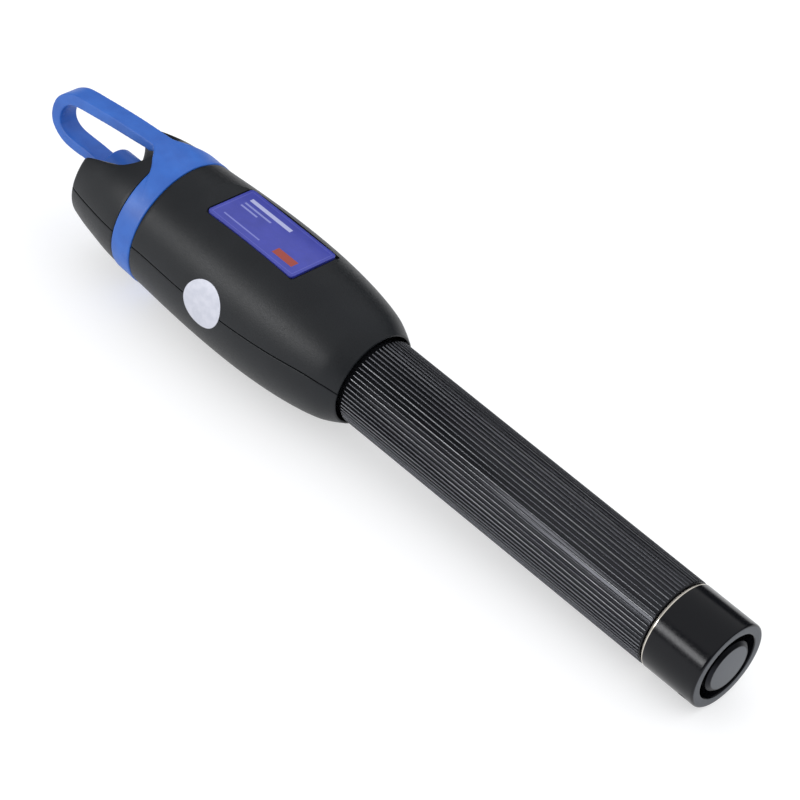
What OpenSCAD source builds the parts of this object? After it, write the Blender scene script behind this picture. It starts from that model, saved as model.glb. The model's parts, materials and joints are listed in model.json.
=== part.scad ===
// Pen-type visual fault locator for 2.5 mm fibre ferrules.
// The axis of the pen lies along X, with +X toward the tail, +Y away from the side
// that carries the round seal, and +Z out through the middle of the label.
// The origin is on the axis, at the mouth of the ceramic sleeve. The modules are
// drawn from the tip of the head, and from_tip() moves them into that frame.

/* [Head] */
// Largest radius of the head
head_radius = 16.85; // [16.5:0.05:18]
// Wall thickness of the two half shells
shell_wall = 2; // [1.6:0.1:2.2]
// Rounding of the rim at the nose
nose_round = 0.9; // [0.4:0.1:1.2]
// Gap between the rear lip and the tube, which shows dark
lip_gap = 0.5; // [0.3:0.05:0.7]
// Wall that is left at the edge of the rear lip
lip_wall = 0.41; // [0.3:0.01:0.6]
// Height that the side seam climbs from the nose to its highest point
seam_rise = 2.3; // [0.5:0.1:3]
// Width of the fine gap in the side seam
seam_gap = 0.12; // [0.05:0.01:0.3]

/* [Nose chamber] */
// Radius of the open chamber at the nose
chamber_mouth = 9.45; // [8.8:0.05:9.8]
// Radius of the chamber at its floor
chamber_floor = 11.2; // [10:0.1:11.6]
// Depth of the chamber behind the nose
chamber_depth = 14.6; // [14:0.1:15.4]
// Thickness of the bulkhead behind the chamber
bulkhead = 2.4; // [2:0.1:3]
// Height above the axis where the nose is cut back under the strap, at the tip
notch_low = 6.7; // [6:0.1:8]
// Distance from the cut's rear end to the collar ring
notch_gap = 3; // [2.8:0.05:5]
// Drop from the head's surface to the cut's floor at its rear end
notch_step = 0.23; // [0.1:0.01:0.4]

/* [Label and seal] */
// Length of the label plate along the pen
label_length = 26.5; // [20:0.1:30]
// Width of the label plate
label_width = 14; // [10:0.1:14.5]
// Thickness of the label plate
label_thickness = 0.7; // [0.3:0.05:0.9]
// Depth of the label's face below the head's largest radius
label_depth = 1.59; // [1.4:0.01:1.8]
// Distance from the collar ring to the front edge of the label
label_setback = 11.4; // [9:0.1:14]
// Radius of the label's corners
label_corner = 1; // [0.4:0.1:2]
// Length of the ramp that leads down to the label's flat
label_ramp = 3.7; // [2:0.1:5]
// Narrow gap round the label at its near and front edges
label_gap = 0.25; // [0.1:0.05:0.5]
// Wider gap along the far edge and the rear edge of the label
label_far_gap = 0.65; // [0.3:0.05:0.9]
// Length of bare flat behind the label's pocket
label_ledge = 0.9; // [0.3:0.1:2]
// Radius of the round seal across the side seam
seal_radius = 5.5; // [4:0.1:6]
// Thickness of the seal
seal_thickness = 0.12; // [0.08:0.01:0.3]
// Distance from the nose to the middle of the seal
seal_station = 46.5; // [43:0.5:50]
// Height of the seal's middle above the axis
seal_height = 1.4; // [0:0.1:3]

/* [Soft collar and strap] */
// Distance from the nose to the front edge of the collar ring
ring_station = 17; // [16.5:0.1:18]
// Width of the collar ring along the pen
ring_width = 5.9; // [5:0.1:6.5]
// Depth of the ring's seat below the head's surface at its front edge
ring_depth = 1.45; // [1.2:0.05:1.6]
// Height of the ring above the head's surface
ring_proud = 0.2; // [0.15:0.01:0.4]
// Rounding of the ring's edges
ring_round = 0.2; // [0.1:0.05:0.4]
// Gap between the ring's edges and its seat
ring_gap = 0.15; // [0.05:0.05:0.3]
// Width of the strap across the pen
strap_width = 5.25; // [4:0.05:6.5]
// Height of the strap's upper face above the head at the collar ring
strap_rise = 0.576; // [0.3:0.001:1.2]
// Distance from the nose to the far end of the strap's loop
loop_reach = 18.8; // [16:0.1:22]
// Distance from the flare's narrow front to the collar ring
flare_lead = 4.85; // [4.4:0.05:5.2]
// Distance from the strap's root, inside the flare, to the collar ring
strap_root_gap = 2; // [1.6:0.1:2.5]
// Distance from the nose to the thin line where the strap bends
hinge_station = 5.3; // [4.5:0.1:6]
// Length of the flare between the strap's width and its full spread
flare_length = 8; // [7:0.1:9]
// Widening of the flare on each side of the strap
flare_spread = 9.4; // [7:0.1:10]
// Outer radius of the dust cap
cap_radius = 5.35; // [5.1:0.05:6]
// Length of the dust cap
cap_length = 7.2; // [6:0.1:7.6]
// Thickness of the dust cap's front wall
cap_front_wall = 1.6; // [1.2:0.1:1.8]
// Rounding of the dust cap's front edge
cap_round = 0.6; // [0.2:0.1:1]
// Clearance between the dust cap and the neck under it
cap_clearance = 0.15; // [0.1:0.01:0.25]

/* [Fibre port] */
// Bore radius of the ceramic sleeve for a 2.5 mm ferrule
sleeve_bore = 1.255; // [1.25:0.001:1.26]
// Outer radius of the ceramic sleeve
sleeve_radius = 1.6; // [1.5:0.05:1.8]
// Length of the ceramic sleeve
sleeve_length = 11.4; // [10:0.1:12]
// Distance from the nose to the mouth of the port
mouth_recess = 1.9; // [1.75:0.05:2.4]
// Radius of the neck at its mouth
neck_tip = 3.1; // [2.8:0.05:3.4]
// Radius of the neck behind its taper
neck_radius = 4.2; // [4:0.05:4.4]
// Radius of the neck's flange
flange_radius = 6.2; // [5.6:0.1:7]
// Thickness of the neck's flange
flange_thickness = 1.2; // [0.8:0.1:1.6]
// Radius of the neck's shank behind the flange
shank_radius = 4.55; // [4:0.05:4.8]
// Length of the shank that screws into the laser barrel
shank_engaged = 5; // [4:0.1:5.2]
// Radius of the light's path through the shank
light_bore = 1.1; // [0.8:0.05:1.3]

/* [Laser barrel] */
// Outer radius of the laser barrel
barrel_radius = 7; // [6.5:0.1:7.5]
// Length of the laser barrel
barrel_length = 21; // [20:0.1:22]
// Radius of the lens's seat
lens_radius = 3.15; // [2.9:0.05:3.4]
// Thickness of the lens at its rim
lens_rim = 1.1; // [0.8:0.1:1.4]
// Height of the lens's curved face above its rim
lens_dome = 0.7; // [0.4:0.05:1]
// Distance from the bulkhead to the lens's seat
lens_seat = 10; // [9:0.1:11]
// Length of the ring that holds the lens
lens_ring = 1.5; // [1:0.1:1.6]
// Radius of the laser diode's flange
diode_radius = 2.8; // [2.6:0.05:3]
// Thickness of the laser diode's flange
diode_flange = 1.2; // [0.8:0.1:1.4]
// Radius of the laser diode's can
diode_can = 1.9; // [1.6:0.05:2.1]
// Length of the laser diode's can
diode_can_length = 2.2; // [1.6:0.1:3]
// Depth of the diode's seat from the rear of the barrel
diode_seat = 4.6; // [3:0.1:5.5]
// Radius of a diode pin
pin_radius = 0.22; // [0.18:0.01:0.25]
// Length of the pins behind the diode's flange
pin_length = 6.8; // [6.2:0.1:7.2]

/* [Driver board] */
// Width of the driver board
board_width = 11.2; // [10:0.1:11.6]
// Length of the driver board
board_length = 16.6; // [15:0.1:20]
// Thickness of the driver board
board_thickness = 0.8; // [0.6:0.1:1]
// Gap between the laser barrel and the board
board_setback = 1.4; // [1:0.1:2]
// Gap between the board's rear edge and the front contact
board_gap = 0.2; // [0.1:0.05:0.3]
// Length, width and height of the control chip
chip_size = [5, 4, 1.5]; // [1:0.1:6]
// Radius of the power inductor
inductor_radius = 1.9; // [1.4:0.1:2]
// Height of the power inductor
inductor_height = 2; // [1.4:0.1:3]
// Length, width and height of a board capacitor
capacitor_size = [1.3, 2, 1]; // [0.6:0.1:2]
// Radius of the insulated leads
lead_radius = 0.45; // [0.3:0.05:0.5]

/* [Battery tube] */
// Gap between the cells and the tube
cell_clearance = 0.25; // [0.15:0.05:0.4]
// Thickness of the tube's wall over the cells
tube_wall = 3; // [2.8:0.05:3.2]
// Length of the tube that sits inside the head
tube_insert = 25.3; // [24:0.1:26]
// Number of flutes round the tube
flute_count = 64; // [48:2:140]
// Depth of the flutes
flute_depth = 0.28; // [0.1:0.02:0.4]
// Depth of the groove that keys the tube to the shells
key_depth = 0.8; // [0.5:0.1:1]
// Width of the keying groove
key_width = 2.1; // [1.6:0.1:2.6]
// Radial clearance of the tube in the shells' ribs
tube_clearance = 0.05; // [0.03:0.01:0.1]
// Thickness of the shells' ribs round the tube and the barrel
rib = 2; // [1.4:0.1:2.4]
// Distance from the tube's front end to the first rib round it
front_rib_inset = 2; // [1:0.1:2.5]
// Distance from the tube's front end to its keying groove
key_inset = 7; // [6:0.1:8]
// Distance from the rear lip to the second rib round the tube
rear_rib_inset = 8.3; // [7.5:0.1:9]
// Length of the rear lip's bore
lip_length = 4; // [3:0.1:5]
// Distance from the laser barrel's rear end to the rib round it
barrel_rib_inset = 8; // [7:0.1:9]

/* [Cells and contacts] */
// Radius of one cell
cell_radius = 7.25; // [7.1:0.05:7.3]
// Length of one cell with its nose
cell_length = 50.5; // [49.5:0.1:50.8]
// Radius of a cell's nose
cell_nose = 2.75; // [2.2:0.05:3]
// Height of a cell's nose
cell_nose_height = 1; // [0.8:0.1:1.5]
// Height of the contact carrier's flange over the tube's bore
carrier_lip = 1.5; // [1:0.1:1.6]
// Thickness of the contact carrier's flange
carrier_flange_thickness = 1.2; // [0.8:0.1:1.6]
// Length of the carrier inside the tube
carrier_plug = 1.5; // [1:0.1:2.2]
// Radius of the front contact's head
contact_head = 3; // [2:0.1:4]
// Thickness of the front contact's head
contact_thickness = 0.5; // [0.3:0.05:0.8]
// Length of the front contact's stem ahead of its carrier
contact_reach = 0.6; // [0.4:0.05:0.8]
// Radius of the front contact's stem
contact_stem = 0.8; // [0.6:0.05:1]
// Length of the tail spring between the rear cell and the switch board
spring_length = 6.2; // [5:0.1:8]
// Gap between the tail spring and the ring round it
spring_gap = 0.7; // [0.4:0.05:1]
// Thickness of the tail spring's wire
spring_wire = 0.7; // [0.5:0.02:0.8]

/* [Tail cap] */
// Gap between the tube's end and the cap's shoulder
shoulder_gap = 0.4; // [0.2:0.05:0.6]
// Length of the tail cap that shows
tail_length = 14.6; // [13:0.1:16]
// Bright bevel at the cap's front edge
tail_bevel = 0.5; // [0.3:0.05:0.8]
// Rounding of the cap's rear edge
tail_round = 0.8; // [0.4:0.05:1.2]
// Width of the recess round the button
recess_width = 1.8; // [1.4:0.05:2.1]
// Depth of the recess
recess_depth = 5; // [4.6:0.1:5.4]
// Thickness of the floor under the recess
floor_thickness = 2.9; // [2:0.1:3]
// Widening of the tube's bore for the cap's screwed plug
thread_step = 1.2; // [1.1:0.05:1.3]
// Thickness of the plug's wall
plug_wall = 1.4; // [1.2:0.05:1.45]
// Length of the plug ahead of the ring that holds the switch stack
plug_lip = 1.4; // [1:0.1:2]
// Radial clearance of the screwed plug in the tube
plug_clearance = 0.05; // [0.03:0.01:0.1]
// Step between the bore of the switch stack and the pocket of the button's flange
pocket_step = 0.3; // [0.2:0.01:0.4]
// Radius of the o-ring's section
seal_ring = 0.38; // [0.3:0.01:0.4]
// Radius of the hole for the lanyard cord
cord_hole = 1.4; // [1:0.05:1.6]
// Distance of the lanyard hole's middle from the tail face
cord_hole_inset = 3.1; // [2.6:0.05:3.3]
// Angle of the lanyard hole from the label, toward the near side
cord_hole_angle = 132; // [90:1:180]

/* [Button and switch] */
// Width of the lip that holds the button in
button_lip = 0.6; // [0.4:0.05:0.8]
// Height of the button's face behind the tail face
button_proud = 0.35; // [0:0.05:1]
// Chamfer round the button's face
button_chamfer = 0.7; // [0.3:0.05:1]
// Travel of the button
button_travel = 1.5; // [1:0.1:1.6]
// Thickness of the button's flange
button_flange_thickness = 1.4; // [1:0.1:1.6]
// Side of the square switch body
switch_side = 8; // [7:0.1:8.4]
// Height of the switch body
switch_height = 5.8; // [5:0.1:6]
// Radius of the switch's plunger
plunger_radius = 1.6; // [1.2:0.1:2]
// Length of the plunger inside the switch body
plunger_engaged = 2.4; // [2:0.1:2.6]
// Length of the plastic sleeve round the switch
sleeve_height = 6.6; // [6.2:0.1:7]
// Thickness of the switch board
switch_board_thickness = 1.2; // [0.8:0.1:1.4]
// Length of the ring that holds the switch stack
retainer_length = 2; // [1.4:0.1:2.4]
// Thickness of that ring's wall
retainer_wall = 1.65; // [1.3:0.05:1.8]

/* [Shell screws] */
// Radius of the screws' shanks
screw_radius = 1.3; // [1:0.05:1.4]
// Length of the screws' shanks
screw_length = 12; // [10:0.5:12.5]
// Radius of the screws' heads
screw_head = 2.3; // [2:0.1:2.3]
// Height of the screws' heads
screw_head_height = 1.6; // [1.2:0.1:2]
// Distance from the driver board's front edge to the screws
screw_inset = 6.6; // [5:0.1:8]
// Gap between the driver board and the screws' bosses
screw_room = 0.5; // [0.3:0.05:0.7]
// Depth of the screw heads' seat below the axis
screw_seat = 6; // [5:0.1:7]

/* [Hidden] */
$fn = 96;

// Overrun of every cut past the face that it leaves through
overrun = 2;
// Clearance of parts that are pressed, glued or soldered together
seat_clearance = 0.02;
// Clearance of screwed and dropped-in parts inside one body
inner_clearance = 0.05;
// Clearance of the button in the floor of its recess
button_clearance = 0.08;
// Small chamfer on turned metal edges
edge_break = 0.3;
// Number of cells in the tube
cell_count = 2;

// The head's outline, as shares of its length and of its swell over the rear lip
head_shares = [[0, 0.2], [0.05, 0.395], [0.1, 0.541], [0.15, 0.672], [0.2, 0.752],
  [0.25, 0.785], [0.3, 0.822], [0.4, 0.9164], [0.5, 0.9814], [0.6, 1], [0.7, 0.9628], [0.8, 0.8389], [0.88, 0.6593],
  [0.94, 0.4425], [0.975, 0.2102], [1, 0]];
// The seam's height, as shares of the head's length and of its rise
seam_shares = [[0, 0], [0.2, 0.09], [0.33, 0.26], [0.5, 0.27], [0.63, 0.46],
  [0.77, 0.74], [0.9, 1], [0.96, 0.8], [1, 0.4]];
// The notch's floor, as shares of its length and climb
notch_shares = [[0, 0.06], [0.14, 0.192], [0.3, 0.3], [0.5, 0.41], [0.66, 0.52],
  [0.78, 0.64], [0.89, 0.78], [0.95, 0.88], [1, 1]];
// The flare's half width beyond the strap, as shares of its length and spread
flare_shares = [[0, 0], [0.11, 0.06], [0.2, 0.14], [0.33, 0.27], [0.46, 0.38],
  [0.6, 0.53], [0.81, 0.79], [1, 1]];
// The strap's outer face from its root round the loop to the cap. A place ahead of
// the nose is a share of the loop's reach, a place behind it is a share of the way to
// the root and counts below zero, and a height is a share of the strap's own height
strap_outer_shares = [[-1, 1], [-0.775, 0.995], [-0.527, 0.978], [-0.178, 0.944],
  [0.137, 0.9], [0.421, 0.848], [0.586, 0.818], [0.727, 0.776], [0.838, 0.702],
  [0.921, 0.61], [0.978, 0.49], [1, 0.3], [0.957, 0.137], [0.86, 0.031],
  [0.727, -0.039], [0.56, -0.059], [0.353, -0.042], [0, -0.012]];
// The strap's inner face from the cap round the loop to its root
strap_inner_shares = [[0, 0.093], [0.101, 0.096], [0.353, 0.104], [0.56, 0.098],
  [0.687, 0.109], [0.766, 0.143], [0.82, 0.2], [0.847, 0.3], [0.835, 0.42],
  [0.793, 0.515], [0.73, 0.582], [0.633, 0.627], [0.389, 0.68], [0.056, 0.745],
  [-0.358, 0.801], [-0.628, 0.838], [-0.775, 0.858], [-0.89, 0.923], [-1, 0.96]];

// Number of straight steps in the head's outline ahead of and behind the ring
nose_steps = 10;
body_steps = 38;
// Number of steps in the head's inner outline
inner_steps = 12;
// Number of steps between two points of the strap
strap_steps = 3;
// Number of steps in the small roundings
round_steps = 5;

// Radii of the tube, its plug and the pieces inside them, from the cells outward
tube_bore = cell_radius + cell_clearance;
tube_radius = tube_bore + tube_wall;
tail_radius = tube_radius;
lip_bore = tube_radius + lip_gap;
lip_radius = lip_bore + lip_wall;
carrier_flange = tube_bore + carrier_lip;
plug_radius = tube_bore + thread_step;
stack_bore = plug_radius - plug_wall;
stack_radius = stack_bore - inner_clearance;
pocket_bore = stack_bore - pocket_step;
button_flange = pocket_bore - 2 * inner_clearance;
button_radius = button_flange - button_lip;
recess_radius = button_radius + recess_width;
retainer_bore = stack_radius - retainer_wall;
spring_radius = retainer_bore - spring_gap;

// Stations along the pen, measured from the nose
bulkhead_rear = chamber_depth + bulkhead;
ring_rear = ring_station + ring_width;
notch_length = ring_station - notch_gap;
strap_root = ring_station - strap_root_gap;
barrel_front = bulkhead_rear;
barrel_rear = barrel_front + barrel_length;
board_front = barrel_rear + board_setback;
board_rear = board_front + board_length;
contact_tail = board_rear + board_gap;
carrier_front = contact_tail + contact_reach;
tube_front = carrier_front + carrier_flange_thickness;
head_length = tube_front + tube_insert;
cells_front = tube_front + carrier_plug + contact_thickness;
cells_rear = cells_front + cell_count * cell_length;
sleeve_end = mouth_recess + sleeve_length;
label_station = ring_rear + label_setback;
label_rear = label_station + label_length;

// Stations inside the tail cap, and its own
switch_board_front = cells_rear + spring_length;
switch_board_rear = switch_board_front + switch_board_thickness;
switch_rear = switch_board_rear + switch_height;
pocket_front = switch_board_rear + sleeve_height;
floor_under = pocket_front + button_flange_thickness + button_travel + 2 * edge_break;
button_flange_rear = floor_under - inner_clearance;
button_under = button_flange_rear - button_flange_thickness;
recess_floor = floor_under + floor_thickness;
tail_face = recess_floor + recess_depth;
tail_front = tail_face - tail_length;
tube_rear = tail_front - shoulder_gap;
plug_front = switch_board_front - retainer_length - plug_lip;
o_ring_station = tail_front - (tail_front - plug_front) / 5;
o_ring_path = plug_radius + plug_clearance - inner_clearance / 2 - seal_ring;

// Heights and radii of the head's details
label_height = head_radius - label_depth;
strap_top = head_at(ring_station) + strap_rise;
notch_climb = head_at(notch_length) - notch_step - notch_low;
ring_seat = head_at(ring_station) - ring_depth;
ring_cavity = ring_seat - shell_wall - ring_gap;

// Places inside the driver compartment
board_top = -pin_radius - seat_clearance;
board_under = board_top - board_thickness;
pin_circle = board_thickness + 2 * pin_radius + 2 * seat_clearance;
boss_radius = screw_head + 2 * inner_clearance + shell_wall / 2;
screw_station = board_front + screw_inset;
screw_offset = board_width / 2 + screw_room + boss_radius;

// Places of the shells' ribs round the tube, from the tube's front end
tube_ribs = [tube_front + front_rib_inset, head_length - rear_rib_inset];
key_station = tube_front + key_inset;

// Value of a table at a place between its ends, on a smooth curve through its points
function shape_at(table, place) =
  let (
    last = len(table) - 1,
    i = max([for (k = [0:last - 1]) table[k][0] <= place || k == 0 ? k : 0]),
    a = table[i],
    b = table[i + 1],
    step = b[0] - a[0],
    t = (min(max(place, table[0][0]), table[last][0]) - a[0]) / step,
    sa = slope_at(table, i, last) * step,
    sb = slope_at(table, i + 1, last) * step
  )
  a[1] * (1 + 2 * t) * (1 - t) * (1 - t) + sa * t * (1 - t) * (1 - t)
  + b[1] * t * t * (3 - 2 * t) - sb * t * t * (1 - t);

function slope_at(table, i, last) =
  let (a = table[max(i - 1, 0)], b = table[min(i + 1, last)])
  (b[1] - a[1]) / (b[0] - a[0]);

// Outer radius of the head, and height of its seam, at a distance from the nose
function head_at(s) =
  lip_radius + (head_radius - lip_radius) * shape_at(head_shares, s / head_length);
function seam_at(s) = seam_rise * shape_at(seam_shares, s / head_length);

// The head's outline between two stations, moved in or out by a fixed amount
function head_line(from, to, steps, shift) =
  [for (k = [0:steps]) let (s = from + (to - from) * k / steps) [s, head_at(s) + shift]];

// A quarter round from one direction to another, about a middle point
function arc(middle, radius, from, to, steps) =
  [for (k = [0:steps]) let (a = from + (to - from) * k / steps)
    [middle[0] + radius * cos(a), middle[1] + radius * sin(a)]];

// A smooth path through points, with an even number of steps between two of them
function path_tangent(p, i) =
  let (a = max(i - 1, 0), b = min(i + 1, len(p) - 1)) (p[b] - p[a]) / path_run(p, a, b);
function path_run(p, a, b) = a >= b ? 0 : norm(p[a + 1] - p[a]) + path_run(p, a + 1, b);
function smooth_path(p, steps) =
  [for (i = [0:len(p) - 2]) for (k = [0:steps - 1])
    let (
      t = k / steps,
      run = norm(p[i + 1] - p[i]),
      ta = path_tangent(p, i) * run,
      tb = path_tangent(p, i + 1) * run
    )
    p[i] * (1 + 2 * t) * (1 - t) * (1 - t) + ta * t * (1 - t) * (1 - t)
    + p[i + 1] * t * t * (3 - 2 * t) - tb * t * t * (1 - t)];

// Points of the strap in the pen's middle plane, from a table of shares
function strap_points(shares) =
  [for (p = shares) [-p[0] * (p[0] < 0 ? strap_root : loop_reach), strap_top * p[1]]];

// Height of the strap's upper face at the bending line
function hinge_height() =
  let (
    line = smooth_path(strap_points(strap_outer_shares), strap_steps),
    i = max([for (k = [0:len(line) - 2]) line[k][0] > hinge_station && line[k][1] > 0 ? k : 0]),
    t = (line[i][0] - hinge_station) / (line[i][0] - line[i + 1][0])
  )
  line[i][1] + (line[i + 1][1] - line[i][1]) * t;

// Radius of the neck's outer surface along its taper
function neck_at(s) =
  neck_tip + (neck_radius - neck_tip) * (s - mouth_recess) / (cap_length - mouth_recess);

// Move what is drawn from the nose into the part's own frame
module from_tip() {
  translate([-mouth_recess, 0, 0])
    children();
}

// Turn an outline of stations and radii round the pen's axis
module turned(outline) {
  rotate([0, 90, 0])
    rotate_extrude()
      polygon([for (p = outline) [p[1], p[0]]]);
}

// Extrude an outline of stations and heights across the pen
module across(outline, width) {
  rotate([90, 0, 0])
    linear_extrude(width, center = true)
      polygon(outline);
}

// A round bar along the pen between two stations
module bar(from, to, radius) {
  translate([from, 0, 0])
    rotate([0, 90, 0])
      cylinder(h = to - from, r = radius);
}

// A ring along the pen between two stations
module ring(from, to, inner, outer) {
  turned([[from, inner], [from, outer], [to, outer], [to, inner]]);
}

// Section of both shells together, with bulkhead, ring seat and ribs
function head_section() = concat(
  arc([nose_round, head_at(0) - nose_round], nose_round, 180, 100, round_steps),
  head_line(nose_round, ring_station - ring_gap, nose_steps, 0),
  [[ring_station - ring_gap, ring_seat], [ring_rear + ring_gap, ring_seat]],
  head_line(ring_rear + ring_gap, head_length, body_steps, 0),
  [[head_length, lip_bore], [lip_inner(), lip_bore]],
  rib_section(tube_ribs[1], tube_ribs[1] + rib, tube_radius + tube_clearance),
  inner_line(tube_ribs[1], key_station + key_width - inner_clearance),
  rib_section(key_station + inner_clearance, key_station + key_width - inner_clearance,
    tube_radius - key_depth + tube_clearance),
  rib_section(tube_ribs[0], tube_ribs[0] + rib, tube_radius + tube_clearance),
  inner_line(tube_ribs[0], barrel_rib() + rib),
  rib_section(barrel_rib(), barrel_rib() + rib, barrel_radius + tube_clearance),
  [[cavity_step() + shell_wall, head_at(cavity_step() + shell_wall) - shell_wall],
    [cavity_step(), ring_cavity], [bulkhead_rear, ring_cavity],
    [bulkhead_rear, shank_radius + inner_clearance],
    [chamber_depth, shank_radius + inner_clearance], [chamber_depth, chamber_floor],
    [edge_break, chamber_mouth], [0, chamber_mouth + edge_break]]
);

// Where the inner wall runs into the rear lip's bore
function lip_inner() = head_length - lip_length;
// Where the space under the ring's seat opens into the driver compartment
function cavity_step() = ring_rear + ring_gap + shell_wall;
function barrel_rib() = barrel_rear - barrel_rib_inset;

// One rib of the shells' section, drawn from its rear face to its front face
function rib_section(from, to, bore) =
  [[to, max(head_at(to) - shell_wall, lip_bore)], [to, bore], [from, bore],
    [from, max(head_at(from) - shell_wall, lip_bore)]];

// The inner wall between two stations, drawn forward
function inner_line(from, to) =
  [for (k = [1:inner_steps - 1]) let (s = from + (to - from) * k / inner_steps)
    [s, max(head_at(s) - shell_wall, lip_bore)]];

// Screw bosses and board shelves, which end inside the shells' walls
module boss_posts(radius) {
  for (side = [-1, 1])
    translate([screw_station, side * screw_offset, 0])
      cylinder(h = 2 * head_radius, r = radius, center = true);
}

module inside_walls() {
  intersection() {
    children();
    turned(concat([[board_front, 0]],
      head_line(board_front, carrier_front, inner_steps, -shell_wall / 2),
      [[carrier_front, 0]]));
  }
}

// Block above the side seam, or below it
module seam_block(side) {
  reach = side * 2 * head_radius;
  across(concat(
    [for (k = [0:inner_steps * 2]) let (s = head_length * k / (inner_steps * 2))
      [s + (k == 0 ? -overrun : k == inner_steps * 2 ? overrun : 0),
        seam_at(s) + side * seam_gap / 2]],
    [[head_length + overrun, reach], [-overrun, reach]]), 4 * head_radius);
}

function notch_points() =
  [for (p = notch_shares) [notch_length * p[0], notch_low + notch_climb * p[1]]];

module head_body() {
  difference() {
    turned(head_section());
    across(concat(smooth_path(notch_points(), 2), [[notch_length, notch_low + notch_climb],
      [notch_length, 2 * head_radius], [-overrun, 2 * head_radius], [-overrun, notch_low]]),
      4 * head_radius);
  }
}

module label_recess() {
  ramp_front = label_station - label_ramp;
  pocket_rear = label_rear + label_far_gap;
  flat_rear = pocket_rear + label_ledge;
  across([[ramp_front, head_at(ramp_front)], [label_station - label_gap, label_height],
    [flat_rear, label_height], [flat_rear, 2 * head_radius], [ramp_front, 2 * head_radius]],
    2 * head_radius);
  pocket_front_edge = label_station - label_gap;
  translate([0, 0, label_height - label_thickness])
    linear_extrude(label_thickness + overrun)
      rounded_plan([pocket_front_edge, -label_width / 2 - label_gap],
        [pocket_rear, label_width / 2 + label_far_gap], label_corner + label_gap);
}

// A rectangle with round corners, between two opposite corners
module rounded_plan(low, high, radius) {
  polygon(concat(
    arc([high[0] - radius, high[1] - radius], radius, 0, 90, round_steps),
    arc([low[0] + radius, high[1] - radius], radius, 90, 180, round_steps),
    arc([low[0] + radius, low[1] + radius], radius, 180, 270, round_steps),
    arc([high[0] - radius, low[1] + radius], radius, 270, 360, round_steps)));
}

module upper_shell() {
  color("#2a2c30")
    from_tip()
      difference() {
        intersection() {
          union() {
            head_body();
            inside_walls() boss_posts(2 * screw_radius);
          }
          seam_block(1);
        }
        label_recess();
        for (side = [-1, 1])
          translate([screw_station, side * screw_offset, -screw_seat])
            cylinder(h = screw_length + edge_break, r = screw_radius + inner_clearance);
      }
}

module lower_shell() {
  color("#2a2c30")
    from_tip()
      difference() {
        intersection() {
          union() {
            head_body();
            inside_walls() {
              boss_posts(boss_radius);
              for (place = [board_front + 2 * rib, board_rear - 3 * rib])
                translate([place, -board_width / 2 + rib, -2 * head_radius])
                  cube([rib / 2, board_width - 2 * rib, 2 * head_radius + board_under]);
            }
          }
          seam_block(-1);
        }
        for (side = [-1, 1])
          translate([screw_station, side * screw_offset, 0]) {
            translate([0, 0, -2 * head_radius])
              cylinder(h = 2 * head_radius - screw_seat, r = screw_head + 2 * inner_clearance);
            translate([0, 0, -2 * head_radius])
              cylinder(h = 4 * head_radius, r = screw_radius + 2 * inner_clearance);
          }
      }
}

module shell_screws() {
  color("#9a9ca0")
    from_tip()
      for (side = [-1, 1])
        translate([screw_station, side * screw_offset, -screw_seat]) {
          cylinder(h = screw_length, r = screw_radius);
          translate([0, 0, -screw_head_height])
            difference() {
              cylinder(h = screw_head_height, r = screw_head);
              for (turn = [0, 90])
                rotate([0, 0, turn])
                  cube([screw_head, edge_break, screw_head_height], center = true);
            }
        }
}

module label_plate() {
  color("#3a3f9c")
    from_tip()
      translate([0, 0, label_height - label_thickness])
        linear_extrude(label_thickness)
          rounded_plan([label_station, -label_width / 2], [label_rear, label_width / 2],
            label_corner);
}

module seal_sticker() {
  front = seal_station - 2 * seal_radius;
  rear = seal_station + 2 * seal_radius;
  color("#d8dade")
    from_tip()
      intersection() {
        turned(concat(head_line(front, rear, inner_steps, seat_clearance + seal_thickness),
          head_line(rear, front, inner_steps, seat_clearance)));
        translate([seal_station, 0, seal_height])
          rotate([90, 0, 0])
            cylinder(h = 2 * head_radius, r = seal_radius);
      }
}

// The collar's band, with round edges where it stands above the head
module collar_band() {
  seat = ring_seat + inner_clearance;
  outer = ring_proud - ring_round;
  turned(concat(
    [[ring_rear, seat], [ring_station, seat]],
    arc([ring_station + ring_round, head_at(ring_station) + outer], ring_round, 180, 90, round_steps),
    arc([ring_rear - ring_round, head_at(ring_rear) + outer], ring_round, 90, 0, round_steps)));
}

// The raised web that joins the strap to the collar
module collar_flare() {
  front = flare_front() + edge_break;
  full = ring_station + ring_round;
  end = ring_rear - ring_round;
  blend = end - ring_width / 4;
  intersection() {
    turned(concat(
      head_line(front, ring_station, round_steps, inner_clearance),
      [[ring_station, ring_seat + ring_round], [end, ring_seat + ring_round],
        [end, head_at(end) + ring_proud], [blend, head_at(blend) + ring_proud],
        [full, strap_top], [front, strap_top]]));
    linear_extrude(2 * head_radius)
      polygon(concat(flare_side(1), flare_side(-1)));
  }
}

function flare_front() = ring_station - flare_lead;

// One side of the flare's plan, closed through the ring's rear edge
function flare_side(side) =
  let (
    points = [for (p = flare_shares)
      [flare_front() + flare_length * p[0], side * (strap_width / 2 + flare_spread * p[1])]],
    last = points[len(points) - 1],
    full = concat(smooth_path(points, 2), [last, [ring_rear, last[1]]])
  )
  side > 0 ? full : [for (i = [len(full) - 1:-1:0]) full[i]];

// The strap's side outline, root and loop in one
function strap_outline() = concat(
  smooth_path(strap_points(strap_outer_shares), strap_steps),
  [strap_points(strap_outer_shares)[len(strap_outer_shares) - 1]],
  smooth_path(strap_points(strap_inner_shares), strap_steps),
  [strap_points(strap_inner_shares)[len(strap_inner_shares) - 1]]
);

module collar_ring() {
  color("#2f6fc4")
    from_tip() {
      collar_band();
      collar_flare();
      intersection() {
        across(strap_outline(), strap_width);
        translate([hinge_station, -strap_width, 0])
          cube([notch_length - edge_break / 2 - hinge_station, 2 * strap_width, 2 * strap_top]);
      }
    }
}

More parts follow.
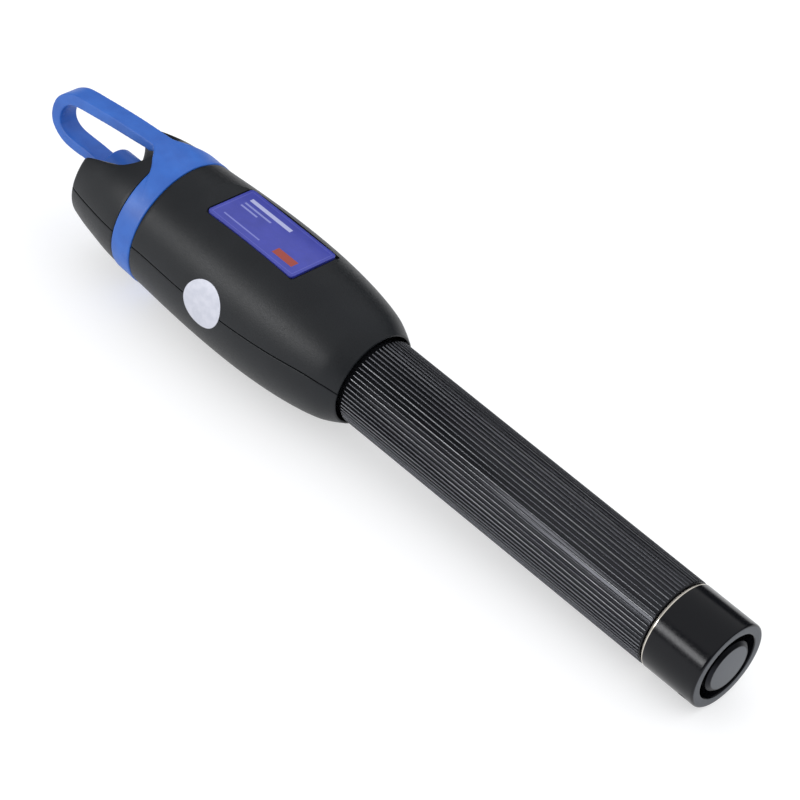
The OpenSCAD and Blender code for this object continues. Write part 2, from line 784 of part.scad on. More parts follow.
module strap_loop() {
  color("#2f6fc4")
    from_tip()
      intersection() {
        across(strap_outline(), strap_width);
        union() {
          translate([-2 * loop_reach, -strap_width, -strap_top])
            cube([2 * loop_reach, 2 * strap_width, 3 * strap_top]);
          translate([-strap_width, -strap_width, strap_top / 2])
            cube([strap_width + hinge_station, 2 * strap_width, strap_top]);
        }
      }
}

module dust_cap() {
  color("#2f6fc4")
    from_tip()
      turned(concat([[0, 0]],
        arc([cap_round, cap_radius - cap_round], cap_round, 180, 90, round_steps),
        [[cap_length, cap_radius], [cap_length, neck_at(cap_length) + cap_clearance],
          [cap_front_wall, neck_at(cap_front_wall) + cap_clearance], [cap_front_wall, 0]]));
}

module port_housing() {
  seat = sleeve_radius + seat_clearance;
  flange_front = chamber_depth - flange_thickness;
  end = bulkhead_rear + shank_engaged;
  color("#c9ccd0")
    from_tip()
      turned([[mouth_recess, seat], [mouth_recess, neck_tip - edge_break],
        [mouth_recess + edge_break, neck_at(mouth_recess + edge_break)],
        [cap_length, neck_radius], [flange_front, neck_radius],
        [flange_front, flange_radius], [chamber_depth, flange_radius],
        [chamber_depth, shank_radius], [end - edge_break, shank_radius],
        [end, shank_radius - edge_break], [end, light_bore], [sleeve_end, light_bore],
        [sleeve_end, seat]]);
}

module ferrule_sleeve() {
  color("#f2f0ea")
    from_tip()
      ring(mouth_recess, sleeve_end, sleeve_bore, sleeve_radius);
}

module laser_barrel() {
  socket = bulkhead_rear + shank_engaged + edge_break;
  seat = barrel_front + lens_seat;
  rear_seat = barrel_rear - diode_seat;
  beam = diode_can + edge_break;
  color("#b8923e")
    from_tip()
      turned([[barrel_front, shank_radius + inner_clearance],
        [barrel_front, barrel_radius - edge_break], [barrel_front + edge_break, barrel_radius],
        [barrel_rear - edge_break, barrel_radius], [barrel_rear, barrel_radius - edge_break],
        [barrel_rear, diode_radius + seat_clearance], [rear_seat, diode_radius + seat_clearance],
        [rear_seat, beam], [seat, beam], [seat, lens_radius + seat_clearance],
        [socket, lens_radius + seat_clearance], [socket, shank_radius + inner_clearance]]);
}

module focus_lens() {
  seat = barrel_front + lens_seat;
  rim = seat - lens_rim;
  clear = lens_radius - 3 * edge_break;
  color("#bcd6e6")
    from_tip()
      turned(concat([[seat, 0], [seat, lens_radius], [rim, lens_radius]],
        [for (k = [0:round_steps]) let (a = 90 * k / round_steps)
          [rim - lens_dome * sin(a), clear * cos(a)]]));
}

module lens_retainer() {
  rear = barrel_front + lens_seat - lens_rim;
  color("#2b2b2b")
    from_tip()
      ring(rear - lens_ring, rear, lens_radius - 2 * edge_break, lens_radius);
}

module laser_diode() {
  seat = barrel_rear - diode_seat;
  base = seat + diode_flange;
  color("#c2a24a")
    from_tip() {
      bar(seat, base, diode_radius);
      bar(seat - diode_can_length, seat, diode_can);
      for (place = [[-pin_circle, 0], [pin_circle, 0], [0, -pin_circle]])
        translate([0, place[0], place[1]])
          bar(base, base + pin_length, pin_radius);
    }
}

module driver_board() {
  color("#1f6b3a")
    from_tip()
      translate([board_front, -board_width / 2, board_under])
        cube([board_rear - board_front, board_width, board_thickness]);
}

module control_chip() {
  color("#1c1c1e")
    from_tip()
      translate([board_front + board_setback + chip_size[0] / 2, -chip_size[1] / 2, board_top])
        cube(chip_size);
}

module power_inductor() {
  color("#4a4a4c")
    from_tip()
      translate([board_rear - 2 * inductor_radius, board_width / 4 + rib / 4, board_top])
        cylinder(h = inductor_height, r = inductor_radius);
}

module board_capacitors() {
  color("#b08d5a")
    from_tip()
      for (step = [0, 1])
        translate([board_rear - (2 + 2 * step) * capacitor_size[0] - contact_stem,
          -board_width / 2 + edge_break * 2, board_top])
          cube(capacitor_size);
}

module contact_carrier() {
  hole = contact_stem + inner_clearance;
  end = tube_front + carrier_plug;
  color("#d9d4c4")
    from_tip()
      turned([[carrier_front, hole], [carrier_front, carrier_flange],
        [tube_front, carrier_flange], [tube_front, tube_bore - inner_clearance],
        [end, tube_bore - inner_clearance], [end, hole]]);
}

module front_contact() {
  seat = tube_front + carrier_plug;
  color("#d4b25a")
    from_tip() {
      bar(contact_tail, seat, contact_stem);
      bar(seat, seat + contact_thickness, contact_head);
    }
}

module positive_lead() {
  color("#c2262a")
    from_tip()
      translate([0, 0, board_top + seat_clearance + lead_radius])
        bar(board_rear - 2 * contact_head, contact_tail - seat_clearance, lead_radius);
}

module ground_lead() {
  height = carrier_flange + lead_radius + inner_clearance * 2;
  front = board_rear - rib;
  color("#1d1d1f")
    from_tip() {
      translate([0, 0, -height])
        bar(front, tube_front - seat_clearance, lead_radius);
      translate([front, 0, -height])
        sphere(r = lead_radius);
      translate([front, 0, -height])
        cylinder(h = height + board_under - seat_clearance, r = lead_radius);
    }
}

// Round bar with flutes along it, as an outline across the pen
function fluted_outline() =
  let (pitch = 360 / flute_count)
  [for (k = [0:flute_count - 1]) for (edge = [[-0.18, 0], [0.18, 0], [0.36, 1], [0.64, 1]])
    let (a = (k + edge[0]) * pitch, r = tube_radius - flute_depth * edge[1])
      [r * cos(a), r * sin(a)]];

module battery_tube() {
  flutes_front = head_length - lip_length - edge_break;
  thread_front = plug_front - edge_break * 2;
  color("#1b1c1e")
    from_tip()
      difference() {
        union() {
          bar(tube_front, flutes_front, tube_radius - tube_clearance);
          translate([flutes_front, 0, 0])
            rotate([0, 90, 0])
              linear_extrude(tube_rear - flutes_front)
                polygon(fluted_outline());
        }
        bar(tube_front - overrun, tube_rear + overrun, tube_bore);
        bar(thread_front, tube_rear + overrun, plug_radius + plug_clearance);
        ring(key_station, key_station + key_width, tube_radius - key_depth,
          tube_radius + overrun);
      }
}

module cell(front) {
  turned([[front, 0], [front, cell_nose], [front + cell_nose_height, cell_nose],
    [front + cell_nose_height, cell_radius - edge_break],
    [front + cell_nose_height + edge_break, cell_radius],
    [front + cell_length - edge_break, cell_radius],
    [front + cell_length, cell_radius - edge_break], [front + cell_length, 0]]);
}

module front_cell() {
  color("#7d6a3a")
    from_tip()
      cell(cells_front);
}

module rear_cell() {
  color("#7d6a3a")
    from_tip()
      cell(cells_front + cell_length);
}

module tail_cap() {
  groove = seal_ring + inner_clearance;
  groove_floor = o_ring_path - seal_ring - seat_clearance / 2;
  color("#131416")
    from_tip()
      difference() {
        turned(concat(
          [[plug_front, stack_bore], [plug_front, plug_radius - edge_break],
            [plug_front + edge_break, plug_radius],
            [o_ring_station - groove, plug_radius], [o_ring_station - groove, groove_floor],
            [o_ring_station + groove, groove_floor], [o_ring_station + groove, plug_radius],
            [tail_front, plug_radius], [tail_front, tail_radius - tail_bevel],
            [tail_front + tail_bevel, tail_radius]],
          arc([tail_face - tail_round, tail_radius - tail_round], tail_round, 90, 0, round_steps),
          [[tail_face, recess_radius + edge_break], [tail_face - edge_break, recess_radius],
            [recess_floor, recess_radius], [recess_floor, button_radius + button_clearance],
            [floor_under, button_radius + button_clearance], [floor_under, pocket_bore],
            [pocket_front, pocket_bore], [pocket_front, stack_bore]]));
        translate([tail_face - cord_hole_inset, 0, 0])
          rotate([cord_hole_angle, 0, 0])
            cylinder(h = tail_radius + overrun, r = cord_hole);
      }
}

module cap_o_ring() {
  color("#7a2f22")
    from_tip()
      translate([o_ring_station, 0, 0])
        rotate([0, 90, 0])
          rotate_extrude()
            translate([o_ring_path, 0])
              circle(r = seal_ring, $fn = 32);
}

module power_button() {
  face = tail_face + button_proud;
  color("#8f9196")
    from_tip()
      turned([[button_under, 0], [button_under, button_flange],
        [button_flange_rear, button_flange], [button_flange_rear, button_radius],
        [face - button_chamfer, button_radius], [face, button_radius - button_chamfer],
        [face, 0]]);
}

module switch_body() {
  color("#3a3d42")
    from_tip()
      difference() {
        translate([switch_board_rear, -switch_side / 2, -switch_side / 2])
          cube([switch_height, switch_side, switch_side]);
        bar(switch_rear - plunger_engaged - button_travel - edge_break, switch_rear + overrun,
          plunger_radius + inner_clearance * 2);
      }
}

module switch_plunger() {
  color("#c8c8c4")
    from_tip()
      bar(switch_rear - plunger_engaged, button_under, plunger_radius);
}

module switch_carrier() {
  bore = switch_side / sqrt(2) + 2 * inner_clearance;
  color("#46484c")
    from_tip()
      ring(switch_board_rear, pocket_front, bore, stack_radius);
}

module switch_board() {
  color("#2b7a4b")
    from_tip()
      bar(switch_board_front, switch_board_rear, stack_radius);
}

module switch_retainer() {
  color("#b9bcc0")
    from_tip()
      ring(switch_board_front - retainer_length, switch_board_front, retainer_bore,
        stack_radius);
}

// The space that the coil fills between the rear cell and the switch board
module tail_spring() {
  color("#c9ccd0")
    from_tip()
      ring(cells_rear, switch_board_front, spring_radius - spring_wire, spring_radius);
}

upper_shell();
lower_shell();
shell_screws();
label_plate();
seal_sticker();
collar_ring();
strap_loop();
dust_cap();
port_housing();
ferrule_sleeve();
laser_barrel();
focus_lens();
lens_retainer();
laser_diode();
driver_board();
control_chip();
power_inductor();
board_capacitors();
contact_carrier();
front_contact();
positive_lead();
ground_lead();
battery_tube();
front_cell();
rear_cell();
tail_cap();
cap_o_ring();
power_button();
switch_body();
switch_plunger();
switch_carrier();
switch_board();
switch_retainer();
tail_spring();
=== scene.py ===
# %% [markdown]
# # A pen-type visual fault locator
# This file dresses the measured solids of a small red-light fibre tester: a matte
# black plastic head with a soft blue ring and strap, a fluted aluminium battery tube,
# and a glossy screw cap with a push button. The solids come in as a fixed frame, and
# each visible piece is then built finer than its solid, in the same place.

import json

import bmesh
import bpy
import numpy as np
from mathutils import Matrix, Vector


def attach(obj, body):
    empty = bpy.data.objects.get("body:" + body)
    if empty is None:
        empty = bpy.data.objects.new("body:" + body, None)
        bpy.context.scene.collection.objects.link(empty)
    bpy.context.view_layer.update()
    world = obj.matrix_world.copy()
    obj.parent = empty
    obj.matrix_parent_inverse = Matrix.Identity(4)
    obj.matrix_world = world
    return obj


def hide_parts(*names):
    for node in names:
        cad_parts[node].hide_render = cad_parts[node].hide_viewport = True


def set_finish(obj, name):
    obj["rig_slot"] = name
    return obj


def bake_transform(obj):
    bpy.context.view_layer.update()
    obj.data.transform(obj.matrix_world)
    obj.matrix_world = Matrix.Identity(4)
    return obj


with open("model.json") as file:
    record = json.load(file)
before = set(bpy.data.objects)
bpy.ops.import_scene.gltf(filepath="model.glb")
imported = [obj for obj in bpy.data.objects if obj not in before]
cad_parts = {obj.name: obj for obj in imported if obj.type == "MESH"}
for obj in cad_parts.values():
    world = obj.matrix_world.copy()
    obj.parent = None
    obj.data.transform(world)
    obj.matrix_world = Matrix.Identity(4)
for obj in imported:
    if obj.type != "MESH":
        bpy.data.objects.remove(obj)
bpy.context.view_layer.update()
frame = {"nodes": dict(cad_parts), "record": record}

# %% [markdown]
# ## Places along the pen
# The pen is a turned form with its axis along X, so nearly every place on it is a
# station, the distance from the nose, and a radius. The frame's origin is at the mouth
# of the fibre port, 1.9 mm behind the nose. All sizes below are in millimetres, and
# one function moves points to metres in the frame. Each curved form is known at a few
# places. Straight lines between them would show as flats, so a second function gives
# the smooth curve through them.

# %% Stations, and smooth curves through a few chosen points
MM = 0.001
PORT = 1.9  # from the nose to the port's mouth


def placed(points):
    """Points of station, y and z in millimetres, in the frame in metres"""
    return (np.asarray(points, float) - [PORT, 0, 0]) * MM


def along(table, at):
    """The height at a place on the smooth curve through a table of places and heights"""
    x, y = np.array(table, float).T
    lean = np.gradient(y)
    lean[1:-1] = (y[2:] - y[:-2]) / (x[2:] - x[:-2])
    lean[0], lean[-1] = (y[1] - y[0]) / (x[1] - x[0]), (y[-1] - y[-2]) / (x[-1] - x[-2])
    at = np.clip(at, x[0], x[-1])
    i = np.clip(np.searchsorted(x, at, side="right") - 1, 0, len(x) - 2)
    run = x[i + 1] - x[i]
    t = (at - x[i]) / run
    ends = y[i] * (1 + 2 * t) * (1 - t) ** 2 + y[i + 1] * t * t * (3 - 2 * t)
    return ends + run * (lean[i] * t * (1 - t) ** 2 - lean[i + 1] * t * t * (1 - t))


print("the port's mouth is at", placed([PORT, 0, 0]))

# %% [markdown]
# ## The head's form
# On the real tester the head is two moulded half shells. Their outside is a turned
# form with three things cut into it: the ring's groove, the flat with its pocket for
# the label, and the cut-back nose under the strap. A subdivided box or booleans would
# leave these edges ragged or hard, so each half is a sheet of columns: every column is
# one closed outline through the wall, and the cuts are worked into the column's points.

# %% The head's outline
LENGTH, WIDEST, LIP = 83.3, 16.85, 11.41
HEAD = [[0, 0.2], [0.05, 0.395], [0.1, 0.541], [0.15, 0.672], [0.2, 0.752], [0.25, 0.785],
        [0.3, 0.822], [0.4, 0.9164], [0.5, 0.9814], [0.6, 1], [0.7, 0.9628], [0.8, 0.8389],
        [0.88, 0.6593], [0.94, 0.4425], [0.975, 0.2102], [1, 0]]
NOSE_ROUND = 0.9


def head_at(s):
    """Radius of the head at a station"""
    return LIP + (WIDEST - LIP) * along(HEAD, np.asarray(s, float) / LENGTH)


def nose_at(s):
    """The same, with the nose's rim rounded"""
    s = np.asarray(s, float)
    short = np.clip(NOSE_ROUND - s, 0, NOSE_ROUND)
    return head_at(s) - NOSE_ROUND + np.sqrt(NOSE_ROUND**2 - short**2)


print("head radius at nose, ring, middle:", [round(float(head_at(s)), 2) for s in (0, 20, 50)])

# %% The joint's line, the nose's cut and the chamber round the port
SEAM_RISE = 2.3
SEAM = [[0, 0], [0.2, 0.09], [0.33, 0.26], [0.5, 0.27], [0.63, 0.46], [0.77, 0.74],
        [0.9, 1], [0.96, 0.8], [1, 0.4]]
NOTCH_LENGTH, NOTCH_LOW, NOTCH_CLIMB = 14.0, 6.7, 8.324
NOTCH = [[0, 0.06], [0.14, 0.192], [0.3, 0.3], [0.5, 0.41], [0.66, 0.52],
         [0.78, 0.64], [0.89, 0.78], [0.95, 0.88], [1, 1]]
CHAMBER, CHAMBER_EDGE, CHAMBER_WIDENS, CHAMBER_FLOOR = 9.45, 0.3, 1.75, 14.6


def seam_at(s):
    """Height at a station of the joint between the halves"""
    return SEAM_RISE * along(SEAM, np.asarray(s, float) / LENGTH)


def notch_at(s):
    """Height at a station of the edge that the cut leaves on the nose"""
    return NOTCH_LOW + NOTCH_CLIMB * along(NOTCH, np.asarray(s, float) / NOTCH_LENGTH)


def chamber_at(s):
    """Radius of the chamber at a station"""
    s = np.asarray(s, float)
    bevel = np.maximum(CHAMBER_EDGE - s, 0)
    inward = np.clip((s - CHAMBER_EDGE) / (CHAMBER_FLOOR - CHAMBER_EDGE), 0, 1)
    return CHAMBER + bevel + CHAMBER_WIDENS * inward


print("joint's height, least and most:", seam_at(0), seam_at(0.9 * LENGTH))

# %% [markdown]
# The label lies in a shallow pocket, on a flat across the top of the head. A boolean
# would cut both, but would leave a hard edge and long thin faces. Here their depth is
# worked out for each point of the outside. It is a smooth step across the edge of a
# rounded rectangle, which leaves the small radius that a moulding has.

# %% The label's flat and pocket
LABEL_TOP, LABEL_THICK = 15.26, 0.7
LABEL = (34.3, 60.8, -7.0, 7.0)
POCKET = (34.05, 61.45, -7.25, 7.65)
RAMP_FRONT, FLAT_REAR = 30.6, 62.35
POCKET_CORNER, POCKET_EDGE, FLAT_EDGE = 1.25, 0.05, 0.12


def eased(t):
    """A smooth step from 0 to 1"""
    t = np.clip(t, 0, 1)
    return t * t * (3 - 2 * t)


def inside(s, y, box, corner):
    """Distance inside a rounded rectangle, below zero outside it"""
    across = np.abs(s - (box[0] + box[1]) / 2) - (box[1] - box[0]) / 2 + corner
    up = np.abs(y - (box[2] + box[3]) / 2) - (box[3] - box[2]) / 2 + corner
    out = np.hypot(np.maximum(across, 0), np.maximum(up, 0))
    return corner - out - np.minimum(np.maximum(across, up), 0)


def top_height(s, y, radius):
    """Height of the head's outside above a point, with the flat and pocket cut in"""
    round_top = np.sqrt(np.maximum(radius**2 - y**2, 0))
    ramp_low, share = head_at(RAMP_FRONT), (s - RAMP_FRONT) / (POCKET[0] - RAMP_FRONT)
    cap = np.where(s < POCKET[0], ramp_low + (LABEL_TOP - ramp_low) * share, LABEL_TOP)
    gap = np.clip(0.5 + (cap - round_top) / (2 * FLAT_EDGE), 0, 1)
    low = cap + (round_top - cap) * gap - FLAT_EDGE * gap * (1 - gap)
    on_flat = (s > RAMP_FRONT) & (s < FLAT_REAR)
    low = np.where(on_flat, np.minimum(low, round_top), round_top)
    deep = eased(0.5 + inside(s, y, POCKET, POCKET_CORNER) / (2 * POCKET_EDGE))
    return low - LABEL_THICK * deep


print("pocket floor:", round(LABEL_TOP - LABEL_THICK, 2), "mm above the axis")

# %% [markdown]
# The columns of the sheet could stand at even angles, but then the pocket's edges would
# run across the faces in steps. So the columns near the top are lines of constant y,
# closer together beside the pocket's two long edges, and the rest share out the way
# on to the joint. The rows are closer at the pocket's ends in the same way.

# %% Where the columns stand
CREST_HALF, COLUMN_STEP = 11.9, 0.45
JOINT_GROOVE, JOINT_DEEP, JOINT_CLOSED = 0.12, 0.9, 0.01  # half widths, and a depth
MIDDLE, MIDDLE_HALF, DRAW_IN = 46.5, 19, 8


def spread(low, high, step, extra=()):
    """Even places between two ends, with extra ones close round chosen edges"""
    near = np.array([-1.25, -0.95, -0.7, -0.45, -0.25, -0.12, -0.05, 0, 0.05, 0.12, 0.25])
    places = list(np.linspace(low, high, int(round((high - low) / step)) + 1))
    for edge, side in extra:
        places = [p for p in places if not -0.3 < side * (p - edge) < 1.4]
        places += list(edge - side * near)
    return np.unique(np.round(places, 4))


def columns_of(top):
    """Each column's y near the top, its share of the way to the joint, and its side"""
    edges = ((POCKET[2], 1), (POCKET[3], -1)) if top else ()
    lines = spread(-CREST_HALF, CREST_HALF, COLUMN_STEP, edges)
    sides = np.linspace(0, 1, 25)[1:-1]
    shares = np.append(sides[sides < 0.97], [1 - 0.012, 1 - 0.006, 1 - 0.002, 1])
    n = len(shares)
    y = np.concatenate([np.full(n, lines[0]), lines, np.full(n, lines[-1])])
    share = np.concatenate([shares[::-1], np.zeros(len(lines)), shares])
    side = np.concatenate([-np.ones(n), np.zeros(len(lines)), np.ones(n)])
    return y[:, None], share[:, None], side[:, None]


def column_angle(half, s, radius):
    """Angle from the top of each column's point at a station and radius"""
    y, share, side, sign = half
    outer = head_at(s)
    # the joint is a groove: it all but closes at the inner wall, so no light gets through
    gap = np.where(radius > outer - JOINT_DEEP, JOINT_GROOVE, JOINT_CLOSED)
    seam = sign * seam_at(s) + gap
    keep = eased((np.abs(s - MIDDLE) - MIDDLE_HALF) / DRAW_IN)
    scale = 1 + (outer / WIDEST - 1) * keep
    angle = np.arcsin(np.clip(y * scale / outer, -1, 1))
    limit = np.arccos(np.clip(seam / radius, -1, 1))
    return np.where(side == 0, angle, angle + side * share * (limit - np.abs(angle)))


print("columns of the upper half:", len(columns_of(True)[0]))

# %% [markdown]
# The cut-back nose ends the upper half's columns early, along a curve that dips in the
# middle. The cut slopes down towards the port, so that from the side only its outer
# edge is seen. Each column's end is found by halving: the stretch in which the edge
# must lie is cut in two until it is far thinner than a hair.

# %% Where the nose's cut ends a column
CUT_SLOPE = 1.9


def crossing(low, high, test):
    """Where a test along each column turns from true to false, by halving"""
    for _ in range(40):
        middle = (low + high) / 2
        above = test(middle)
        low, high = np.where(above, middle, low), np.where(above, high, middle)
    return (low + high) / 2


def rim_radius(s, depth):
    """Radius at a station, a share of the way in through the nose's wall"""
    return nose_at(s) - (nose_at(s) - chamber_at(s)) * depth


def rim_start(half, depth):
    """Station of each column's front end, a share of the way in through the wall"""
    nose = np.zeros_like(half[0])
    if half[3] < 0:
        return nose

    def above(s):
        radius = rim_radius(s, depth)
        return radius * np.cos(column_angle(half, s, radius)) > notch_at(s) - CUT_SLOPE * depth

    return crossing(nose, np.full_like(nose, NOTCH_LENGTH), above)


print("the cut reaches back to", NOTCH_LENGTH, "mm")

# %% Rows of the outside, from the nose over the ring's groove to the rear lip
RING_FRONT, RING_REAR, RING_GAP, RING_SEAT = 17.0, 22.9, 0.15, 14.074


def outside_rows(half):
    """Stations and radii of the outside, in blocks of rows"""
    start = rim_start(half, 0)
    front, rear = RING_FRONT - RING_GAP, RING_REAR + RING_GAP
    stations = [start + (front - 0.1 - start) * np.linspace(0, 1, 44) ** 1.7]
    radii = [nose_at(stations[0])]
    for s, drop in ((front - 0.03, -0.03), (front, -0.1), (front, None),
                    (rear, None), (rear, -0.1), (rear + 0.03, -0.03)):
        stations.append(np.full_like(start, s))
        radii.append(np.full_like(start, RING_SEAT if drop is None else head_at(s) + drop))
    top = half[3] > 0
    ends = ((POCKET[0], -1), (POCKET[1], 1)) if top else ()
    body = spread(rear + 0.1, LENGTH - 0.5, 0.7, ends)
    if top:
        step = [FLAT_REAR - 0.06, FLAT_REAR, FLAT_REAR + 0.04, FLAT_REAR + 0.12]
        body = np.unique(np.concatenate([body, [RAMP_FRONT], step]))
    stations.append(np.tile(body, (len(start), 1)))
    radii.append(head_at(stations[-1]))
    for back, drop in ((0.3, 0.0), (0.12, 0.03), (0.03, 0.1), (0, 0.2)):
        lip = head_at(LENGTH - back) - drop + 0.05 * (drop > 0)
        stations.append(np.full_like(start, LENGTH - back))
        radii.append(np.full_like(start, lip))
    return stations, radii


print("the ring's groove is", round(RING_REAR - RING_FRONT + 2 * RING_GAP, 2), "mm wide")

# %% Rows of the inside, from the rear lip over the bulkhead to the nose
WALL, TUBE_ROOM, CAVITY, CAVITY_REAR, BULKHEAD_REAR, NECK_ROOM = 2, 11.0, 11.924, 25.05, 17, 4.6


def inside_rows(half):
    """Stations and radii of the inside, in blocks of rows"""
    start = rim_start(half, 1)
    wall = [(LENGTH, TUBE_ROOM + 0.1), (LENGTH - 0.1, TUBE_ROOM), (79.3, TUBE_ROOM)]
    wall += [(s, max(float(head_at(s)) - WALL, TUBE_ROOM)) for s in np.linspace(78.8, 25.2, 9)]
    wall += [(CAVITY_REAR, CAVITY), (BULKHEAD_REAR, CAVITY), (BULKHEAD_REAR, NECK_ROOM)]
    wall += [(CHAMBER_FLOOR, NECK_ROOM)]
    stations = [np.full_like(start, s) for s, _ in wall]
    radii = [np.full_like(start, r) for _, r in wall]
    stations.append(CHAMBER_FLOOR + (start - CHAMBER_FLOOR) * np.linspace(0, 1, 24))
    radii.append(chamber_at(stations[-1]))
    for depth in (0.9, 0.75, 0.6, 0.45, 0.3, 0.18, 0.08, 0.03):
        stations.append(rim_start(half, depth))
        radii.append(rim_radius(stations[-1], depth))
    return stations, radii


print("the bulkhead is", round(BULKHEAD_REAR - CHAMBER_FLOOR, 2), "mm thick")

# %% The points of a half
JOINT_ROUND = ((0.999, 0.16), (0.997, 0.08), (0.993, 0.03))  # share passed, and drop
CUT_ROUND, PAST_CUT = 0.35, 0.4


def half_points(top):
    """One half as columns of closed outlines through its wall"""
    half = (*columns_of(top), 1 if top else -1)
    share, side, sign = half[1:]
    out_s, out_r = outside_rows(half)
    in_s, in_r = inside_rows(half)
    s, r = np.concatenate(out_s + in_s, 1), np.concatenate(out_r + in_r, 1)
    angle = column_angle(half, s, r)
    shell = slice(0, sum(block.shape[1] for block in out_s))
    # the outer edge along the joint is rounded, but never deeper than the ring's groove
    drop = np.select([share > passed for passed, _ in JOINT_ROUND], [d for _, d in JOINT_ROUND], 0.0)
    r[:, shell] -= np.minimum(drop, np.maximum(r[:, shell] - RING_SEAT, 0) + 0.2)
    y, z = r * np.sin(angle), r * np.cos(angle)
    if top:
        on_flat = (s[:, shell] > RAMP_FRONT) & (s[:, shell] < FLAT_REAR + 0.01) & (side == 0)
        lowered = top_height(s[:, shell], y[:, shell], r[:, shell])
        z[:, shell] = np.where(on_flat, lowered, z[:, shell])
    return np.stack([s, y, sign * z], 2)


def eased_edges(points, weight, rounds):
    """Lets chosen points of a sheet drift to the middle of their neighbours"""
    for _ in range(rounds):
        middle = points.copy()
        beside = np.roll(points, 1, 1)[1:-1] + np.roll(points, -1, 1)[1:-1]
        middle[1:-1] = (points[2:] + points[:-2] + beside) / 4
        points += (middle - points) * weight[..., None]
    return points


upper_points, lower_points = half_points(True), half_points(False)
at, up = upper_points[..., 0], upper_points[..., 2]
# only the points near the nose's cut may drift, which rounds its edges
from_cut = (up - notch_at(np.minimum(at, NOTCH_LENGTH))) / CUT_ROUND
near_cut = np.exp(-(from_cut**2)) * (at < NOTCH_LENGTH + PAST_CUT)
upper_points = eased_edges(upper_points, 0.5 * near_cut, 6)
print("points of the halves:", upper_points.shape, lower_points.shape)

# %% [markdown]
# A mesh is made from plain arrays of points and faces, which keeps every edge where it
# is wanted. Modelling by hand could give the same form, but not the same numbers as
# the solids. Points that fall together are merged, and the faces turned outward,
# because light and the export both trust a face's direction.

# %% Columns skinned into a closed mesh
def shown(name, mesh):
    """Puts a mesh in the scene as an object"""
    piece = bpy.data.objects.new(name, mesh)
    bpy.context.scene.collection.objects.link(piece)
    return piece


def closed_mesh(name, points, faces, sharp=40):
    """A mesh with its doubles merged and its faces pointing out"""
    mesh = bpy.data.meshes.new(name)
    mesh.from_pydata(placed(points).tolist(), [], faces)
    work = bmesh.new()
    work.from_mesh(mesh)
    bmesh.ops.remove_doubles(work, verts=work.verts, dist=1e-7)
    bmesh.ops.dissolve_degenerate(work, edges=work.edges, dist=1e-7)
    bmesh.ops.recalc_face_normals(work, faces=work.faces)
    work.to_mesh(mesh)
    work.free()
    mesh.shade_smooth()
    mesh.set_sharp_from_angle(angle=np.radians(sharp))
    return mesh


def tube_of_columns(name, points, sharp=40):
    """Columns of closed outlines, skinned one to the next, with both ends filled"""
    m, n = points.shape[:2]
    faces = [
        (j * n + i, j * n + (i + 1) % n, (j + 1) * n + (i + 1) % n, (j + 1) * n + i)
        for j in range(m - 1)
        for i in range(n)
    ]
    faces += [tuple(range(n)), tuple(range((m - 1) * n, m * n))]
    return closed_mesh(name, points.reshape(-1, 3), faces, sharp)


upper_half = shown("head_upper_half", tube_of_columns("head_upper_half", upper_points, 35))
lower_half = shown("head_lower_half", tube_of_columns("head_lower_half", lower_points, 35))
print("head halves:", len(upper_half.data.polygons), len(lower_half.data.polygons), "faces")

# %% [markdown]
# Two long screws hold the halves together from below. Their wells are plain round
# holes in the lower half, so a boolean cut does it: there the edges are meant to be
# crisp, and only the view from underneath shows them.

# %% The screw wells in the lower half
SCREW_AT, SCREW_SIDE, WELL_RADIUS = 46, 9.5, 2.4


def upright(name, s, y, radius, low, high):
    """A round tool standing across the pen"""
    middle = ((s - PORT) * MM, y * MM, (low + high) / 2 * MM)
    work = bmesh.new()
    bmesh.ops.create_cone(work, cap_ends=True, segments=64, radius1=radius * MM,
                          radius2=radius * MM, depth=(high - low) * MM)
    bmesh.ops.translate(work, verts=work.verts, vec=middle)
    mesh = bpy.data.meshes.new(name)
    work.to_mesh(mesh)
    work.free()
    return shown(name, mesh)


def settle(piece):
    """Turns a piece's live modifiers into plain mesh"""
    bpy.context.view_layer.update()
    made = piece.evaluated_get(bpy.context.evaluated_depsgraph_get())
    mesh = bpy.data.meshes.new_from_object(made)
    piece.modifiers.clear()
    piece.data = mesh


def cut(piece, sharp, *tools):
    """Takes the tools' space out of a piece, deletes the tools and shades the piece"""
    for tool in tools:
        hole = piece.modifiers.new("cut", "BOOLEAN")
        hole.operation, hole.solver, hole.object = "DIFFERENCE", "EXACT", tool
    settle(piece)
    for tool in tools:
        bpy.data.objects.remove(tool)
    piece.data.shade_smooth()
    piece.data.set_sharp_from_angle(angle=np.radians(sharp))


wells = [upright("screw_well", SCREW_AT, y, WELL_RADIUS, -20, -6) for y in (-SCREW_SIDE, SCREW_SIDE)]
cut(lower_half, 35, *wells)
for half, node in ((upper_half, "upper_shell"), (lower_half, "lower_shell")):
    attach(half, "pen")
    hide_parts(node)
    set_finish(half, "head_plastic")
print("lower half with its wells:", len(lower_half.data.polygons), "faces")

# %% [markdown]
# ## The soft blue ring, strap and loop
# These are one moulding in a soft rubber-like plastic: a band in the head's groove, a
# web that rises from it and narrows into the strap, and the strap itself, which runs
# forward, curls round a finger loop and comes back to the dust cap. Joining three
# solids by hand would leave creases, so they are filled with voxels and smoothed
# together, which gives the round edges and the flowing corners of a soft moulding.

